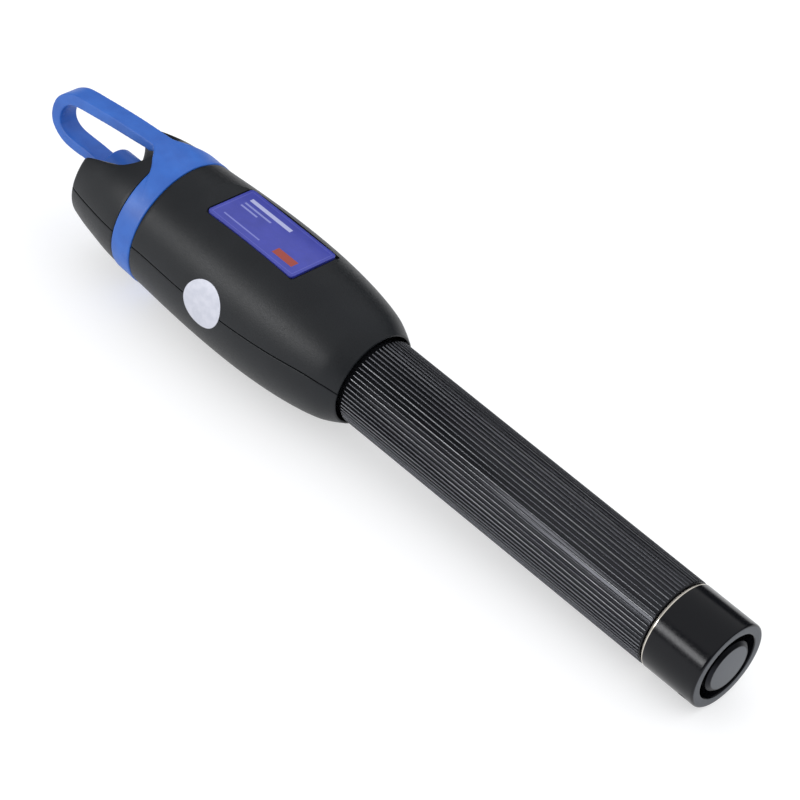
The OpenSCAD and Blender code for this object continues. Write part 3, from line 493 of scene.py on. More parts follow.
# %% The strap, as its side outline given a width
STRAP_HALF, STRAP_TOP, LOOP_REACH, ROOT = 2.625, 16.1, 18.8, 15.0
STRAP_END = 13.3  # behind this station the web goes on
STRAP_OUTER = [[-1, 1], [-0.775, 0.995], [-0.527, 0.978], [-0.178, 0.944],
               [0.137, 0.9], [0.421, 0.848], [0.586, 0.818], [0.727, 0.776],
               [0.838, 0.702], [0.921, 0.61], [0.978, 0.49], [1, 0.3], [0.957, 0.137],
               [0.86, 0.031], [0.727, -0.039], [0.56, -0.059], [0.353, -0.042], [0, -0.012]]
STRAP_INNER = [[0, 0.093], [0.101, 0.096], [0.353, 0.104], [0.56, 0.098],
               [0.687, 0.109], [0.766, 0.143], [0.82, 0.2], [0.847, 0.3],
               [0.835, 0.42], [0.793, 0.515], [0.73, 0.582], [0.633, 0.627],
               [0.389, 0.68], [0.056, 0.745], [-0.358, 0.801], [-0.628, 0.838],
               [-0.775, 0.858], [-0.89, 0.923], [-1, 0.96]]


def path(points, steps):
    """A smooth path through points of a plane, with even steps between two of them"""
    p = np.array(points, float)
    run = np.concatenate([[0], np.cumsum(np.linalg.norm(np.diff(p, axis=0), axis=1))])
    at = np.concatenate([np.linspace(a, b, steps, endpoint=False) for a, b in zip(run, run[1:])])
    at = np.append(at, run[-1])
    return np.stack([along(np.stack([run, p[:, k]], 1), at) for k in (0, 1)], 1)


side_line = []
for shares in (STRAP_OUTER, STRAP_INNER):
    line = path([[-p * (ROOT if p < 0 else LOOP_REACH), STRAP_TOP * w] for p, w in shares], 6)
    side_line += [p for p in line if p[0] < STRAP_END]
across_strap = np.linspace(-STRAP_HALF, STRAP_HALF, 8)
strap_points = np.array([[[s, y, z] for s, z in side_line] for y in across_strap])
strap_mesh = tube_of_columns("strap", strap_points)
print("strap:", len(strap_mesh.polygons), "faces")

# %% [markdown]
# The band is a turned form. A turned outline lists its corners, each with the radius
# that it is rounded by, since nothing that is moulded or turned has a perfectly sharp
# edge. A screw modifier could turn it too, but each piece would need its own, with its
# doubles merged, and one function serves all the turned pieces here.

# %% The band
BAND_BORE, BAND_LIFT = 14.12, 0.2


def softened(corners, steps=5):
    """An outline of (station, radius, rounding) with each corner rounded"""
    out = []
    n = len(corners)
    for i, (s, r, rounding) in enumerate(corners):
        here = np.array([s, r], float)
        if rounding <= 0:
            out.append(here)
            continue
        back = np.array(corners[i - 1][:2]) - here
        ahead = np.array(corners[(i + 1) % n][:2]) - here
        a, b = back / np.linalg.norm(back), ahead / np.linalg.norm(ahead)
        half = np.arccos(np.clip(a @ b, -1, 1)) / 2
        room = 0.48 * min(np.linalg.norm(back), np.linalg.norm(ahead))
        reach = min(rounding / np.tan(half), room)
        for t in np.linspace(0, 1, steps + 1):
            out.append(here + a * reach * (1 - t) ** 2 + b * reach * t**2)
    return np.array(out)


def turned(name, corners, around):
    """A closed outline of (station, radius, rounding) turned round the axis"""
    line = softened(corners)
    angle = np.linspace(0, 2 * np.pi, around, endpoint=False)
    s = np.tile(line[:, 0], (around, 1))
    y = np.outer(np.sin(angle), line[:, 1])
    z = np.outer(np.cos(angle), line[:, 1])
    n = len(line)
    faces = []
    for j in range(around):
        here, there = j * n, (j + 1) % around * n
        for i in range(n):
            k = (i + 1) % n
            if line[i, 1] > 0 or line[k, 1] > 0:
                faces.append((here + i, here + k, there + k, there + i))
    return closed_mesh(name, np.stack([s, y, z], 2).reshape(-1, 3), faces)


bore = [(RING_REAR, BAND_BORE, 0), (RING_FRONT, BAND_BORE, 0)]
crown = [(s, float(head_at(s)) + BAND_LIFT, 0.0) for s in np.linspace(RING_FRONT, RING_REAR, 9)]
band_mesh = turned("band", bore + crown, 256)
print("band:", len(band_mesh.polygons), "faces")

# %% The web between band and strap
WEB_FRONT, WEB_REAR, WEB_STEPS = 12.2, 22.2, 41
FLARE_FRONT, FLARE_LENGTH, FLARE_GROWS = 12.15, 8, 9.4
FLARE = [[0, 0], [0.11, 0.06], [0.2, 0.14], [0.33, 0.27], [0.46, 0.38], [0.6, 0.53],
         [0.81, 0.79], [1, 1]]
DESCENT_FRONT, DESCENT_LENGTH, HEAD_CLEARANCE, SUNK_RADIUS = 17.2, 4.4, 0.06, 14.5
web_rows = []
for s in np.linspace(WEB_FRONT, WEB_REAR, WEB_STEPS):
    half = STRAP_HALF + FLARE_GROWS * float(along(FLARE, (s - FLARE_FRONT) / FLARE_LENGTH))
    y = np.linspace(-half, half, WEB_STEPS)
    # it comes down from the strap's height to the band's. Its underside clears the head
    # in front of the ring's groove, and is sunk in the band behind that
    down = float(eased((s - DESCENT_FRONT) / DESCENT_LENGTH))
    crest = STRAP_TOP + (float(head_at(s)) + BAND_LIFT - STRAP_TOP) * down
    under = float(head_at(s)) + HEAD_CLEARANCE if s < RING_FRONT else SUNK_RADIUS
    station = np.full(WEB_STEPS, s)
    upper = np.stack([station, y, np.sqrt(crest**2 - y**2)], 1)
    lower = np.stack([station, y, np.sqrt(under**2 - y**2)], 1)
    web_rows.append(np.concatenate([upper, lower[::-1]]))
web_mesh = tube_of_columns("web", np.array(web_rows))
print("web:", len(web_mesh.polygons), "faces")

# %% Filled with voxels and smoothed
VOXEL = 0.19
joined = bmesh.new()
for part in (strap_mesh, band_mesh, web_mesh):
    joined.from_mesh(part)
soft_mesh = bpy.data.meshes.new("soft_strap")
joined.to_mesh(soft_mesh)
joined.free()
soft_strap = shown("soft_strap", soft_mesh)
fill = soft_strap.modifiers.new("fill", "REMESH")
fill.mode, fill.voxel_size, fill.use_smooth_shade = "VOXEL", VOXEL * MM, True
ease = soft_strap.modifiers.new("ease", "SMOOTH")
ease.factor, ease.iterations = 0.5, 12
settle(soft_strap)
soft_strap.data.shade_smooth()
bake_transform(soft_strap)
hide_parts("collar_ring", "strap_loop")
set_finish(soft_strap, "soft_blue")
print("soft strap:", len(soft_strap.data.polygons), "faces")

# %% [markdown]
# The dust cap on the strap's end is a small thimble over the port's neck. It could be
# part of the voxel form, but its bore has to fit the neck, so it is a turned form of
# its own, with a generous round at its closed end.

# %% The dust cap
dust_cap = shown("dust_cap_soft", turned("dust_cap_soft", [
    (0, 0, 0), (0, 5.35, 0.8), (7.2, 5.35, 0.25), (7.2, 4.35, 0.12), (1.6, 3.25, 0),
    (1.6, 0, 0)], 128))
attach(dust_cap, "capped_loop")
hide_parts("dust_cap")
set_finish(dust_cap, "soft_blue")
print("dust cap:", len(dust_cap.data.polygons), "faces")

# %% [markdown]
# ## The label and the seal
# The label is a thin printed plate glued into its pocket. A box with two bevel
# modifiers would do, one for its corners and one for its edge, but four rings of points
# say all its sizes in one place. Its upper edge has a fine bevel, so that a thin light
# line runs round it.

# %% The label plate
LABEL_CORNER, LABEL_BEVEL = 1.0, 0.12


def plate(name, box, corner, low, high, bevel):
    """A flat plate with round corners and a bevelled upper edge"""
    left, right, near, far = box[0] + corner, box[1] - corner, box[2] + corner, box[3] - corner
    rings = []
    for inset, z in ((0, low), (0, high - bevel), (bevel * 0.3, high - bevel * 0.3), (bevel, high)):
        ring = []
        for x, y, start in ((right, far, 0), (left, far, 90), (left, near, 180), (right, near, 270)):
            for a in np.radians(np.linspace(start, start + 90, 9)):
                ring.append([x + (corner - inset) * np.cos(a), y + (corner - inset) * np.sin(a), z])
        rings.append(ring)
    return tube_of_columns(name, np.array(rings), 30)


label_mesh = plate("label_plate_printed", LABEL, LABEL_CORNER, LABEL_TOP - LABEL_THICK,
                   LABEL_TOP, LABEL_BEVEL)
label = shown("label_plate_printed", label_mesh)
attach(label, "pen")
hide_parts("label_plate")
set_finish(label, "label_face")
print("label plate:", len(label.data.polygons), "faces")

# %% [markdown]
# The seal is a disc of foil laid on the curved side across the joint. A flat disc with
# a shrinkwrap modifier could follow the curve, but the head's radius is known at every
# station, so each of its points is put on the surface and lifted by the foil's thickness.

# %% The foil seal
SEAL_AT, SEAL_HEIGHT, SEAL_RADIUS, FOIL = 46.5, 1.4, 5.5, 0.14
SEAL_EDGE = ((0.02, 1.0), (0.11, 1.0), (FOIL, 0.99))  # lift off the head, share of the radius
rings = []
for lift, reach in (*SEAL_EDGE, *[(FOIL, share) for share in np.linspace(0.97, 0.02, 16)]):
    turn = np.linspace(0, 2 * np.pi, 96, endpoint=False)
    s = SEAL_AT + SEAL_RADIUS * reach * np.cos(turn)
    z = SEAL_HEIGHT + SEAL_RADIUS * reach * np.sin(turn)
    rings.append(np.stack([s, -np.sqrt((head_at(s) + lift) ** 2 - z**2), z], 1))
seal = shown("foil_seal", tube_of_columns("foil_seal", np.array(rings), 50))
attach(seal, "pen")
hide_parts("seal_sticker")
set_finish(seal, "seal_foil")
print("seal:", len(seal.data.polygons), "faces")

# %% [markdown]
# ## Making materials
# Each finish starts from a Principled shader and the piece's own Object coordinates,
# which here are metres along the pen. A picture of each surface could be wrapped round
# it, but would blur close up. A pattern that is worked out stays sharp, and its scale is
# one over its real size in metres. One helper adds a node with its settings and links,
# and one turns a hex colour, as seen on a screen, to the linear values of the shader.

# %% Material helpers
def linear(code):
    """A hex colour in linear values"""
    parts = [int(code[i : i + 2], 16) / 255 for i in (1, 3, 5)]
    return [c / 12.92 if c <= 0.04045 else ((c + 0.055) / 1.055) ** 2.4 for c in parts] + [1.0]


def add(tree, kind, inputs=(), out=0, **settings):
    """Adds a node with values or links for its inputs, by name or in order"""
    made = tree.nodes.new(kind)
    for key, value in settings.items():
        setattr(made, key, value)
    ready = [socket for socket in made.inputs if socket.enabled]
    for key, value in inputs.items() if isinstance(inputs, dict) else enumerate(inputs):
        socket = made.inputs[key] if isinstance(key, str) else ready[key]
        if isinstance(value, bpy.types.NodeSocket):
            tree.links.new(value, socket)
        elif value is not None:
            socket.default_value = value
    given = [socket for socket in made.outputs if socket.enabled]
    return given[out] if given else made


def started(name, colour, roughness, metallic=0.0, ior=1.5):
    """A material, its tree, its shader's inputs, and the piece's own coordinates"""
    material = bpy.data.materials.new(name)
    material.use_nodes = True
    tree = material.node_tree
    tree.nodes.clear()
    inputs = {"Base Color": linear(colour), "Roughness": roughness, "Metallic": metallic, "IOR": ior}
    shaded = add(tree, "ShaderNodeBsdfPrincipled", inputs)
    add(tree, "ShaderNodeOutputMaterial", {"Surface": shaded})
    return material, tree, shaded.node.inputs, add(tree, "ShaderNodeTexCoord", out=3)


print("mid grey in linear values:", round(linear("#808080")[0], 3))

# %% [markdown]
# ## The fluted battery tube
# The tube is drawn from aluminium with fine ribs all along it, sixty-four of them, and
# dyed black. Its finish paints a highlight on each rib's back and a darker shade in the
# grooves. Painting lines on a smooth tube would look right from one side only. So the
# ribs are real, and the finish tells a rib's back from a groove by its distance from the
# pen's axis.

# %% Drawn and dyed aluminium
# Anodised aluminium, drawn through a die and dyed black: a dark metal, smooth along the
# pen. Each rib's back is painted with a highlight, a fine bright line, stronger on some
# ribs than on others and broken along long streaks 0.9 mm apart. The grooves are painted
# darker than the ribs' sides, a painted shade. A few specks of dust, about a fifth of a
# millimetre wide, lie on it.
TUBE_RADIUS, VALLEY, CREST_FROM = 10.5, 10.22, 10.46
tube_black, tree, into, coords = started("drawn_anodised_aluminium", "#2a2b2f", 0.25, 0.7)
drawn = add(tree, "ShaderNodeMapping", {"Vector": coords, "Scale": (0.02, 1, 1)})
marks = add(tree, "ShaderNodeTexNoise", {"Vector": drawn, "Scale": 1000 / 0.9, "Detail": 2.0})
gloss = add(tree, "ShaderNodeMapRange", (marks, 0.35, 0.65, 0.18, 0.32))
tree.links.new(gloss, into["Roughness"])
s_place = add(tree, "ShaderNodeSeparateXYZ", (coords,))
y_place, z_place = s_place.node.outputs[1], s_place.node.outputs[2]
across = add(tree, "ShaderNodeCombineXYZ", {"Y": y_place, "Z": z_place})
from_axis = add(tree, "ShaderNodeVectorMath", (across,), operation="LENGTH")
# painted shade: the grooves, and the narrow band in front of the ribs, are painted darker than the
# ribs' sides
raised = add(tree, "ShaderNodeMapRange", (from_axis, 10.24 * MM, 10.4 * MM, 0, 1))
painted_groove_shade, rib_side, bare_metal_and_crest_highlight = linear("#2b2c30"), linear("#38393e"), linear("#a9abae")
tone = add(tree, "ShaderNodeMix", (raised, painted_groove_shade, rib_side), data_type="RGBA")
# painted highlight: each rib's back is painted a bright grey, stronger on some ribs than on others
# and broken by the streaks
crest_highlight_strength = add(tree, "ShaderNodeMapRange", (marks, 0.42, 0.66, 0.12, 1))
crest = add(tree, "ShaderNodeMapRange", (from_axis, CREST_FROM * MM, TUBE_RADIUS * MM, 0, crest_highlight_strength))
tone = add(tree, "ShaderNodeMix", (crest, tone, bare_metal_and_crest_highlight), data_type="RGBA")
dust = add(tree, "ShaderNodeTexVoronoi", {"Vector": coords, "Scale": 1000 / 2.6})
speck = add(tree, "ShaderNodeMapRange", (dust, 0.03, 0.05, 0.5, 0))
tone = add(tree, "ShaderNodeMix", (speck, tone, linear("#8d8c88")), data_type="RGBA")
tree.links.new(tone, into["Base Color"])
print(tube_black.name, "has", len(tree.nodes), "nodes")

# %% [markdown]
# What repeats round an axis is work for Geometry Nodes: one slender rib is drawn once,
# copied round a circle, and joined to the plain tube. An array modifier would need an
# empty to turn round, and its sizes would have no names. The tree has named inputs, so
# the number, height and width of the ribs can be changed, and it ends with real
# geometry and its material.

# %% The rib tree
RIBS, RIB_WIDTH, RIB_HEIGHT, RIB_CIRCLE = 64, 0.46, 0.56, TUBE_RADIUS - 0.29
RIB_FRONT, RIB_REAR = 84.2, 171.2
RIB_INPUTS = (("Tube", "Geometry", None),
              ("Rib Count", "Int", RIBS),
              ("Rib Width", "Float", RIB_WIDTH * MM),
              ("Rib Height", "Float", RIB_HEIGHT * MM),
              ("Rib Circle", "Float", RIB_CIRCLE * MM),
              ("Rib Length", "Float", (RIB_REAR - RIB_FRONT) * MM),
              ("Rib Start", "Float", (RIB_FRONT - PORT) * MM))

rib_tree = bpy.data.node_groups.new("ribs_round_the_tube", "GeometryNodeTree")
for name, kind, value in RIB_INPUTS:
    socket = rib_tree.interface.new_socket(name, in_out="INPUT", socket_type="NodeSocket" + kind)
    if value is not None:
        socket.default_value = value
rib_tree.interface.new_socket("Ribbed", in_out="OUTPUT", socket_type="NodeSocketGeometry")
given = add(rib_tree, "NodeGroupInput").node.outputs
print("rib tree's inputs:", [socket.name for socket in given if socket.name])

# %% One rib in the tree: a bar of sixteen corners, squeezed to its size
bar = add(rib_tree, "GeometryNodeMeshCylinder", {"Vertices": 16, "Radius": 1.0, "Depth": 1.0})
size = {"X": given["Rib Height"], "Y": given["Rib Width"], "Z": 1.0}
size = add(rib_tree, "ShaderNodeCombineXYZ", size)
size = add(rib_tree, "ShaderNodeVectorMath", (size, (0.5, 0.5, 1.0)), operation="MULTIPLY")
length = add(rib_tree, "ShaderNodeCombineXYZ", {"Z": given["Rib Length"]})
size = add(rib_tree, "ShaderNodeVectorMath", (size, (1, 1, 0), length), operation="MULTIPLY_ADD")
rib = add(rib_tree, "GeometryNodeTransform", {"Geometry": bar, "Scale": size})
print("one rib is", RIB_WIDTH, "mm wide and", RIB_REAR - RIB_FRONT, "mm long")

# %% Its copies in the tree, on a circle, laid along the pen and joined to the tube
ring = {"Vertices": given["Rib Count"], "Radius": given["Rib Circle"]}
ring = add(rib_tree, "GeometryNodeMeshCircle", ring)
step = add(rib_tree, "ShaderNodeMath", (2 * np.pi, given["Rib Count"]), operation="DIVIDE")
which = add(rib_tree, "GeometryNodeInputIndex")
turn = add(rib_tree, "ShaderNodeMath", (step, which), operation="MULTIPLY")
# each copy is turned so that its back faces outward
turn = add(rib_tree, "ShaderNodeCombineXYZ", {"Z": turn})
copies = {"Points": ring, "Instance": rib, "Rotation": turn}
copies = add(rib_tree, "GeometryNodeInstanceOnPoints", copies)
half_way = (given["Rib Length"], 0.5, given["Rib Start"])
half_way = add(rib_tree, "ShaderNodeMath", half_way, operation="MULTIPLY_ADD")
place = add(rib_tree, "ShaderNodeCombineXYZ", {"X": half_way})
laid = {"Geometry": copies, "Rotation": (0, np.pi / 2, 0), "Translation": place}
laid = add(rib_tree, "GeometryNodeTransform", laid)
both = add(rib_tree, "GeometryNodeJoinGeometry", {"Geometry": laid})
rib_tree.links.new(given["Tube"], both.node.inputs[0])
real = add(rib_tree, "GeometryNodeRealizeInstances", {"Geometry": both})
dressed = add(rib_tree, "GeometryNodeSetMaterial", {"Geometry": real, "Material": tube_black})
add(rib_tree, "NodeGroupOutput", {"Ribbed": dressed})
print("rib tree:", len(rib_tree.nodes), "nodes")

# %% The tube with its ribs
TUBE_FRONT, TUBE_REAR = 58.0, 171.4
tube = shown("fluted_tube", turned("fluted_tube", [
    (TUBE_FRONT, 7.5, 0), (TUBE_FRONT, 10.45, 0.3), (65, 10.45, 0), (65, 9.7, 0), (67.1, 9.7, 0),
    (67.1, 10.45, 0), (78.95, 10.3, 0.1), (79.2, 9.95, 0), (RIB_FRONT, 9.95, 0), (84.4, VALLEY, 0),
    (TUBE_REAR, VALLEY, 0.12), (TUBE_REAR, 8.75, 0), (163.2, 8.75, 0), (163.2, 7.5, 0)], 240))
tube.data.materials.append(tube_black)
ribs = tube.modifiers.new("ribs", "NODES")
ribs.node_group = rib_tree
for item in rib_tree.interface.items_tree:
    if item.name == "Rib Count":
        ribs[item.identifier] = RIBS
settle(tube)
tube.data.shade_smooth()
tube.data.set_sharp_from_angle(angle=np.radians(60))
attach(tube, "pen")
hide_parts("battery_tube")
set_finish(tube, "anodised_tube")
print("tube:", len(tube.data.polygons), "faces, finish", tube.data.materials[0].name)

# %% [markdown]
# ## The tail cap and the button
# The cap screws into the tube. Its outside is glossy black, its front edge is a bevel
# that was cut after the colour went on and so shows bright metal, and its rear face
# was turned to a satin grey. A turned outline gives all of it, and a boolean drills
# the hole for the wrist cord through the recess's wall. The button is turned as well,
# and stands in the recess.

# %% The tail cap
TAIL_FRONT, TAIL_FACE, CAP_ROUND = 171.8, 186.4, 0.65
CORD_BACK, CORD_RADIUS, CORD_ANGLE = 3.1, 1.4, 132  # from the rear face, and from the top
tail_cap = shown("tail_cap_turned", turned("tail_cap_turned", [
    (163.8, 7.3, 0), (163.8, 8.7, 0.25), (169.77, 8.7, 0), (169.77, 7.97, 0), (170.63, 7.97, 0),
    (170.63, 8.7, 0), (TAIL_FRONT, 8.7, 0), (TAIL_FRONT, 10.0, 0.03),
    (TAIL_FRONT + 0.5, TUBE_RADIUS, 0.06), (TAIL_FACE, TUBE_RADIUS, CAP_ROUND),
    (TAIL_FACE, 8.1, 0.35), (181.4, 8.1, 0.1), (181.4, 6.38, 0.08), (178.5, 6.38, 0),
    (178.5, 7.0, 0), (175, 7.0, 0), (175, 7.3, 0)], 256))
cord_tool = upright("cord_tool", TAIL_FACE - CORD_BACK, 0, CORD_RADIUS, 0, 13)
cord_tool.data.transform(Matrix.Rotation(np.radians(CORD_ANGLE), 4, "X"))
cut(tail_cap, 35, cord_tool)
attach(tail_cap, "tail")
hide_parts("tail_cap")
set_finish(tail_cap, "anodised_cap")
print("tail cap:", len(tail_cap.data.polygons), "faces")

# %% The button
button = shown("push_button", turned("push_button", [
    (177.05, 0, 0), (177.05, 6.9, 0.1), (178.45, 6.9, 0.1), (178.45, 6.3, 0), (186.05, 6.3, 0.05),
    (186.75, 5.6, 0.08), (186.75, 0, 0)], 160))
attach(button, "button")
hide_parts("power_button")
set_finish(button, "button_metal")
print("button:", len(button.data.polygons), "faces")

# %% [markdown]
# ## The head's finish
# The head is moulded ABS from a spark-eroded tool, which leaves a fine, even pebble. The
# pebble could be real geometry, but it is far too fine: a bump and a varying roughness
# scatter the light as it does.

# %% Spark-eroded black plastic
# ABS, moulded in a spark-eroded tool: dark grey with a wide, sandy sheen and no sharp
# reflection. The real pebble is about 0.05 mm, drawn here at 0.22 mm so that it shows.
head_black, tree, into, coords = started("spark_eroded_black_plastic", "#18191c", 0.42)
into["Specular IOR Level"].default_value = 0.28
pebble = add(tree, "ShaderNodeTexNoise", {"Vector": coords, "Scale": 1000 / 0.22, "Detail": 2.0})
gloss = add(tree, "ShaderNodeMapRange", (pebble, 0.3, 0.7, 0.36, 0.5))
tree.links.new(gloss, into["Roughness"])
bumps = add(tree, "ShaderNodeBump", {"Height": pebble, "Distance": 0.03 * MM, "Strength": 0.9})
tree.links.new(bumps, into["Normal"])
patch = add(tree, "ShaderNodeTexNoise", {"Vector": coords, "Scale": 1000 / 9, "Detail": 3.0})
patch = add(tree, "ShaderNodeMapRange", (patch, 0.3, 0.7, 0, 1))
darker, paler = linear("#15181c"), linear("#1a1d21")
tone = add(tree, "ShaderNodeMix", (patch, darker, paler), data_type="RGBA")
tree.links.new(tone, into["Base Color"])
print(head_black.name, "has", len(tree.nodes), "nodes")

# %% [markdown]
# ## The soft pieces' finish
# Ring, strap and dust cap are a thermoplastic elastomer, dyed right through and moulded
# in a lightly blasted tool. Subsurface scattering could soften it, but the real stuff is
# filled and lets no light through, so a soft sheen on an even colour is enough.

# %% Soft blue elastomer
# Thermoplastic elastomer, moulded in a blasted tool: an even blue, a little lighter
# where it is handled, with a soft sheen and a skin grain of 0.3 mm.
soft_blue, tree, into, coords = started("moulded_blue_elastomer", "#1f60be", 0.5)
skin = add(tree, "ShaderNodeTexNoise", {"Vector": coords, "Scale": 1000 / 0.3, "Detail": 3.0})
gloss = add(tree, "ShaderNodeMapRange", (skin, 0.3, 0.7, 0.4, 0.52))
tree.links.new(gloss, into["Roughness"])
bumps = add(tree, "ShaderNodeBump", {"Height": skin, "Distance": 0.02 * MM, "Strength": 0.6})
tree.links.new(bumps, into["Normal"])
cloud = add(tree, "ShaderNodeTexNoise", {"Vector": coords, "Scale": 1000 / 5, "Detail": 2.0})
cloud = add(tree, "ShaderNodeMapRange", (cloud, 0.3, 0.7, 0, 1))
darker, paler = linear("#1b5ab6"), linear("#2568c6")
tone = add(tree, "ShaderNodeMix", (cloud, darker, paler), data_type="RGBA")
tree.links.new(tone, into["Base Color"])
print(soft_blue.name, "has", len(tree.nodes), "nodes")

# %% [markdown]
# ## The label's print
# The label is a plastic plate, screen-printed and lacquered. Its ground and its marks
# could be separate thin pieces, but ink has no height to speak of, so each mark is a
# mask worked out from a rectangle on the plate: how far a point is outside it.

# %% Screen-printed plate
# Plastic, screen-printed and lacquered: a violet-blue ground with a pale hairline frame,
# and plain bars and a block. The lacquer gives it a tighter gloss than the head has.
label_print, tree, into, coords = started("screen_printed_plate", "#363e9f", 0.35)
into["Coat Weight"].default_value = 0.12
into["Coat Roughness"].default_value = 0.2
patch = add(tree, "ShaderNodeTexNoise", {"Vector": coords, "Scale": 1000 / 4, "Detail": 3.0})
patch = add(tree, "ShaderNodeMapRange", (patch, 0.3, 0.7, 0, 1))
darker, paler = linear("#343c9c"), linear("#3b43aa")
face = add(tree, "ShaderNodeMix", (patch, darker, paler), data_type="RGBA")
s_place = add(tree, "ShaderNodeSeparateXYZ", (coords,))
y_place = s_place.node.outputs[1]
# each mark: its station and y limits, its line's half width (0 if filled), its colour
MARKS = ((35.1, 60.0, -6.2, 6.2, 0.05, "#5a60bb"),
         (37.0, 49.5, 3.4, 4.5, 0, "#aeb2da"),
         (37.0, 45.0, 1.8, 2.3, 0, "#8288c8"),
         (37.0, 42.0, 0.5, 1.0, 0, "#8288c8"),
         (52.2, 58.2, -4.7, -2.4, 0, "#9c3a2c"),
         (37.0, 48.0, -4.6, -4.2, 0, "#7379c4"))
INK_EDGE = 0.03
for s0, s1, y0, y1, line, colour in MARKS:
    gaps = []
    for place, low, high in ((s_place, s0 - PORT, s1 - PORT), (y_place, y0, y1)):
        middle, half = (low * MM + high * MM) / 2, (high * MM - low * MM) / 2
        away = add(tree, "ShaderNodeMath", (place, middle), operation="SUBTRACT")
        away = add(tree, "ShaderNodeMath", (away,), operation="ABSOLUTE")
        gaps.append(add(tree, "ShaderNodeMath", (away, half), operation="SUBTRACT"))
    out_of = add(tree, "ShaderNodeMath", gaps, operation="MAXIMUM")
    if line:
        out_of = add(tree, "ShaderNodeMath", (out_of,), operation="ABSOLUTE")
    within = add(tree, "ShaderNodeMapRange", (out_of, line * MM, (line + INK_EDGE) * MM, 1, 0))
    face = add(tree, "ShaderNodeMix", (within, face, linear(colour)), data_type="RGBA")
tree.links.new(face, into["Base Color"])
print(label_print.name, "has", len(MARKS), "marks")

# %% [markdown]
# ## The seal's finish
# The seal is aluminium foil under a clear matt film. A bare metal would mirror the room
# and turn dark, but the film scatters the light, so it is mostly a pale, even surface
# with only a little metal in it.

# %% Laminated foil
# Aluminium foil, laminated with matt film: pale and even, with a weak sheen, and just
# crinkled where it follows the curve, with creases about 1.6 mm apart.
foil, tree, into, coords = started("laminated_aluminium_foil", "#d0d2dc", 0.45, 0.12)
crinkle = add(tree, "ShaderNodeTexNoise", {"Vector": coords, "Scale": 1000 / 1.6, "Detail": 2.0})
bumps = add(tree, "ShaderNodeBump", {"Height": crinkle, "Distance": 0.03 * MM, "Strength": 0.4})
tree.links.new(bumps, into["Normal"])
gloss = add(tree, "ShaderNodeMapRange", (crinkle, 0.3, 0.7, 0.4, 0.5))
tree.links.new(gloss, into["Roughness"])
crease = add(tree, "ShaderNodeMapRange", (crinkle, 0.35, 0.65, 0, 1))
darker, paler = linear("#cbcdd8"), linear("#d6d7e1")
tone = add(tree, "ShaderNodeMix", (crease, darker, paler), data_type="RGBA")
tree.links.new(tone, into["Base Color"])
print(foil.name, "has", len(tree.nodes), "nodes")

# %% [markdown]
# ## The tail cap's finish
# One turned piece has three finishes. It could be split into three, or its faces given
# three materials, but the real one is a single piece of metal, so one finish tells them
# apart by the station: bevel, outside and rear face.

# %% Polished cap, bare bevel and satin face
# Anodised aluminium, polished and dyed black: like lacquer, with sharp long reflections.
# The bevel was cut after dyeing and shows bare metal, and its bright band is carried
# about 0.2 mm past the bevel on to the dyed side, a painted highlight. The rear face was
# turned to a satin grey. A haze of 0.5 mm patches keeps the gloss from looking perfect.
cap_black, tree, into, coords = started("polished_black_anodised_aluminium", "#111216", 0.2, 0.2)
into["Specular IOR Level"].default_value = 0.28
s_place = add(tree, "ShaderNodeSeparateXYZ", (coords,))
front, face_at = TAIL_FRONT - PORT, TAIL_FACE - PORT
# the bevel's bare metal band runs on about 0.2 mm past the bevel, over the dyed side: there it is a
# painted highlight
ends = (s_place, (front + 0.66) * MM, (front + 0.74) * MM, 1, 0)
bare_bevel_and_highlight_band = add(tree, "ShaderNodeMapRange", ends)
past_plug = add(tree, "ShaderNodeMapRange", (s_place, (front - 0.05) * MM, front * MM, 0, 1))
bare_bevel_and_highlight_band = add(tree, "ShaderNodeMath", (bare_bevel_and_highlight_band, past_plug), operation="MULTIPLY")
ends = (s_place, (face_at - 0.05) * MM, (face_at - 0.02) * MM, 0, 1)
on_face = add(tree, "ShaderNodeMapRange", ends)
dyed_black_and_bevel_shade, bare_metal_and_crest_highlight, satin = linear("#111216"), linear("#ddd6ca"), linear("#53565b")
tone = add(tree, "ShaderNodeMix", (bare_bevel_and_highlight_band, dyed_black_and_bevel_shade, bare_metal_and_crest_highlight), data_type="RGBA")
tone = add(tree, "ShaderNodeMix", (on_face, tone, satin), data_type="RGBA")
tree.links.new(tone, into["Base Color"])
haze = add(tree, "ShaderNodeTexNoise", {"Vector": coords, "Scale": 1000 / 0.5, "Detail": 2.0})
gloss = add(tree, "ShaderNodeMapRange", (haze, 0.3, 0.7, 0.17, 0.25))
gloss = add(tree, "ShaderNodeMath", (on_face, 0.22, gloss), operation="MULTIPLY_ADD")
tree.links.new(gloss, into["Roughness"])
metal = add(tree, "ShaderNodeMath", (bare_bevel_and_highlight_band, 0.3, 0.2), operation="MULTIPLY_ADD")
metal = add(tree, "ShaderNodeMath", (on_face, 0.8, metal), operation="MULTIPLY_ADD")
tree.links.new(metal, into["Metallic"])
print(cap_black.name, "has", len(tree.nodes), "nodes")

# %% [markdown]
# ## The button's finish
# The button is aluminium, faced on a lathe and then bead-blasted. An anisotropic shader
# would draw the lathe's fan of light, but blasting has broken it up, so faint rings in
# the bump and a fine grain are what is left of it.

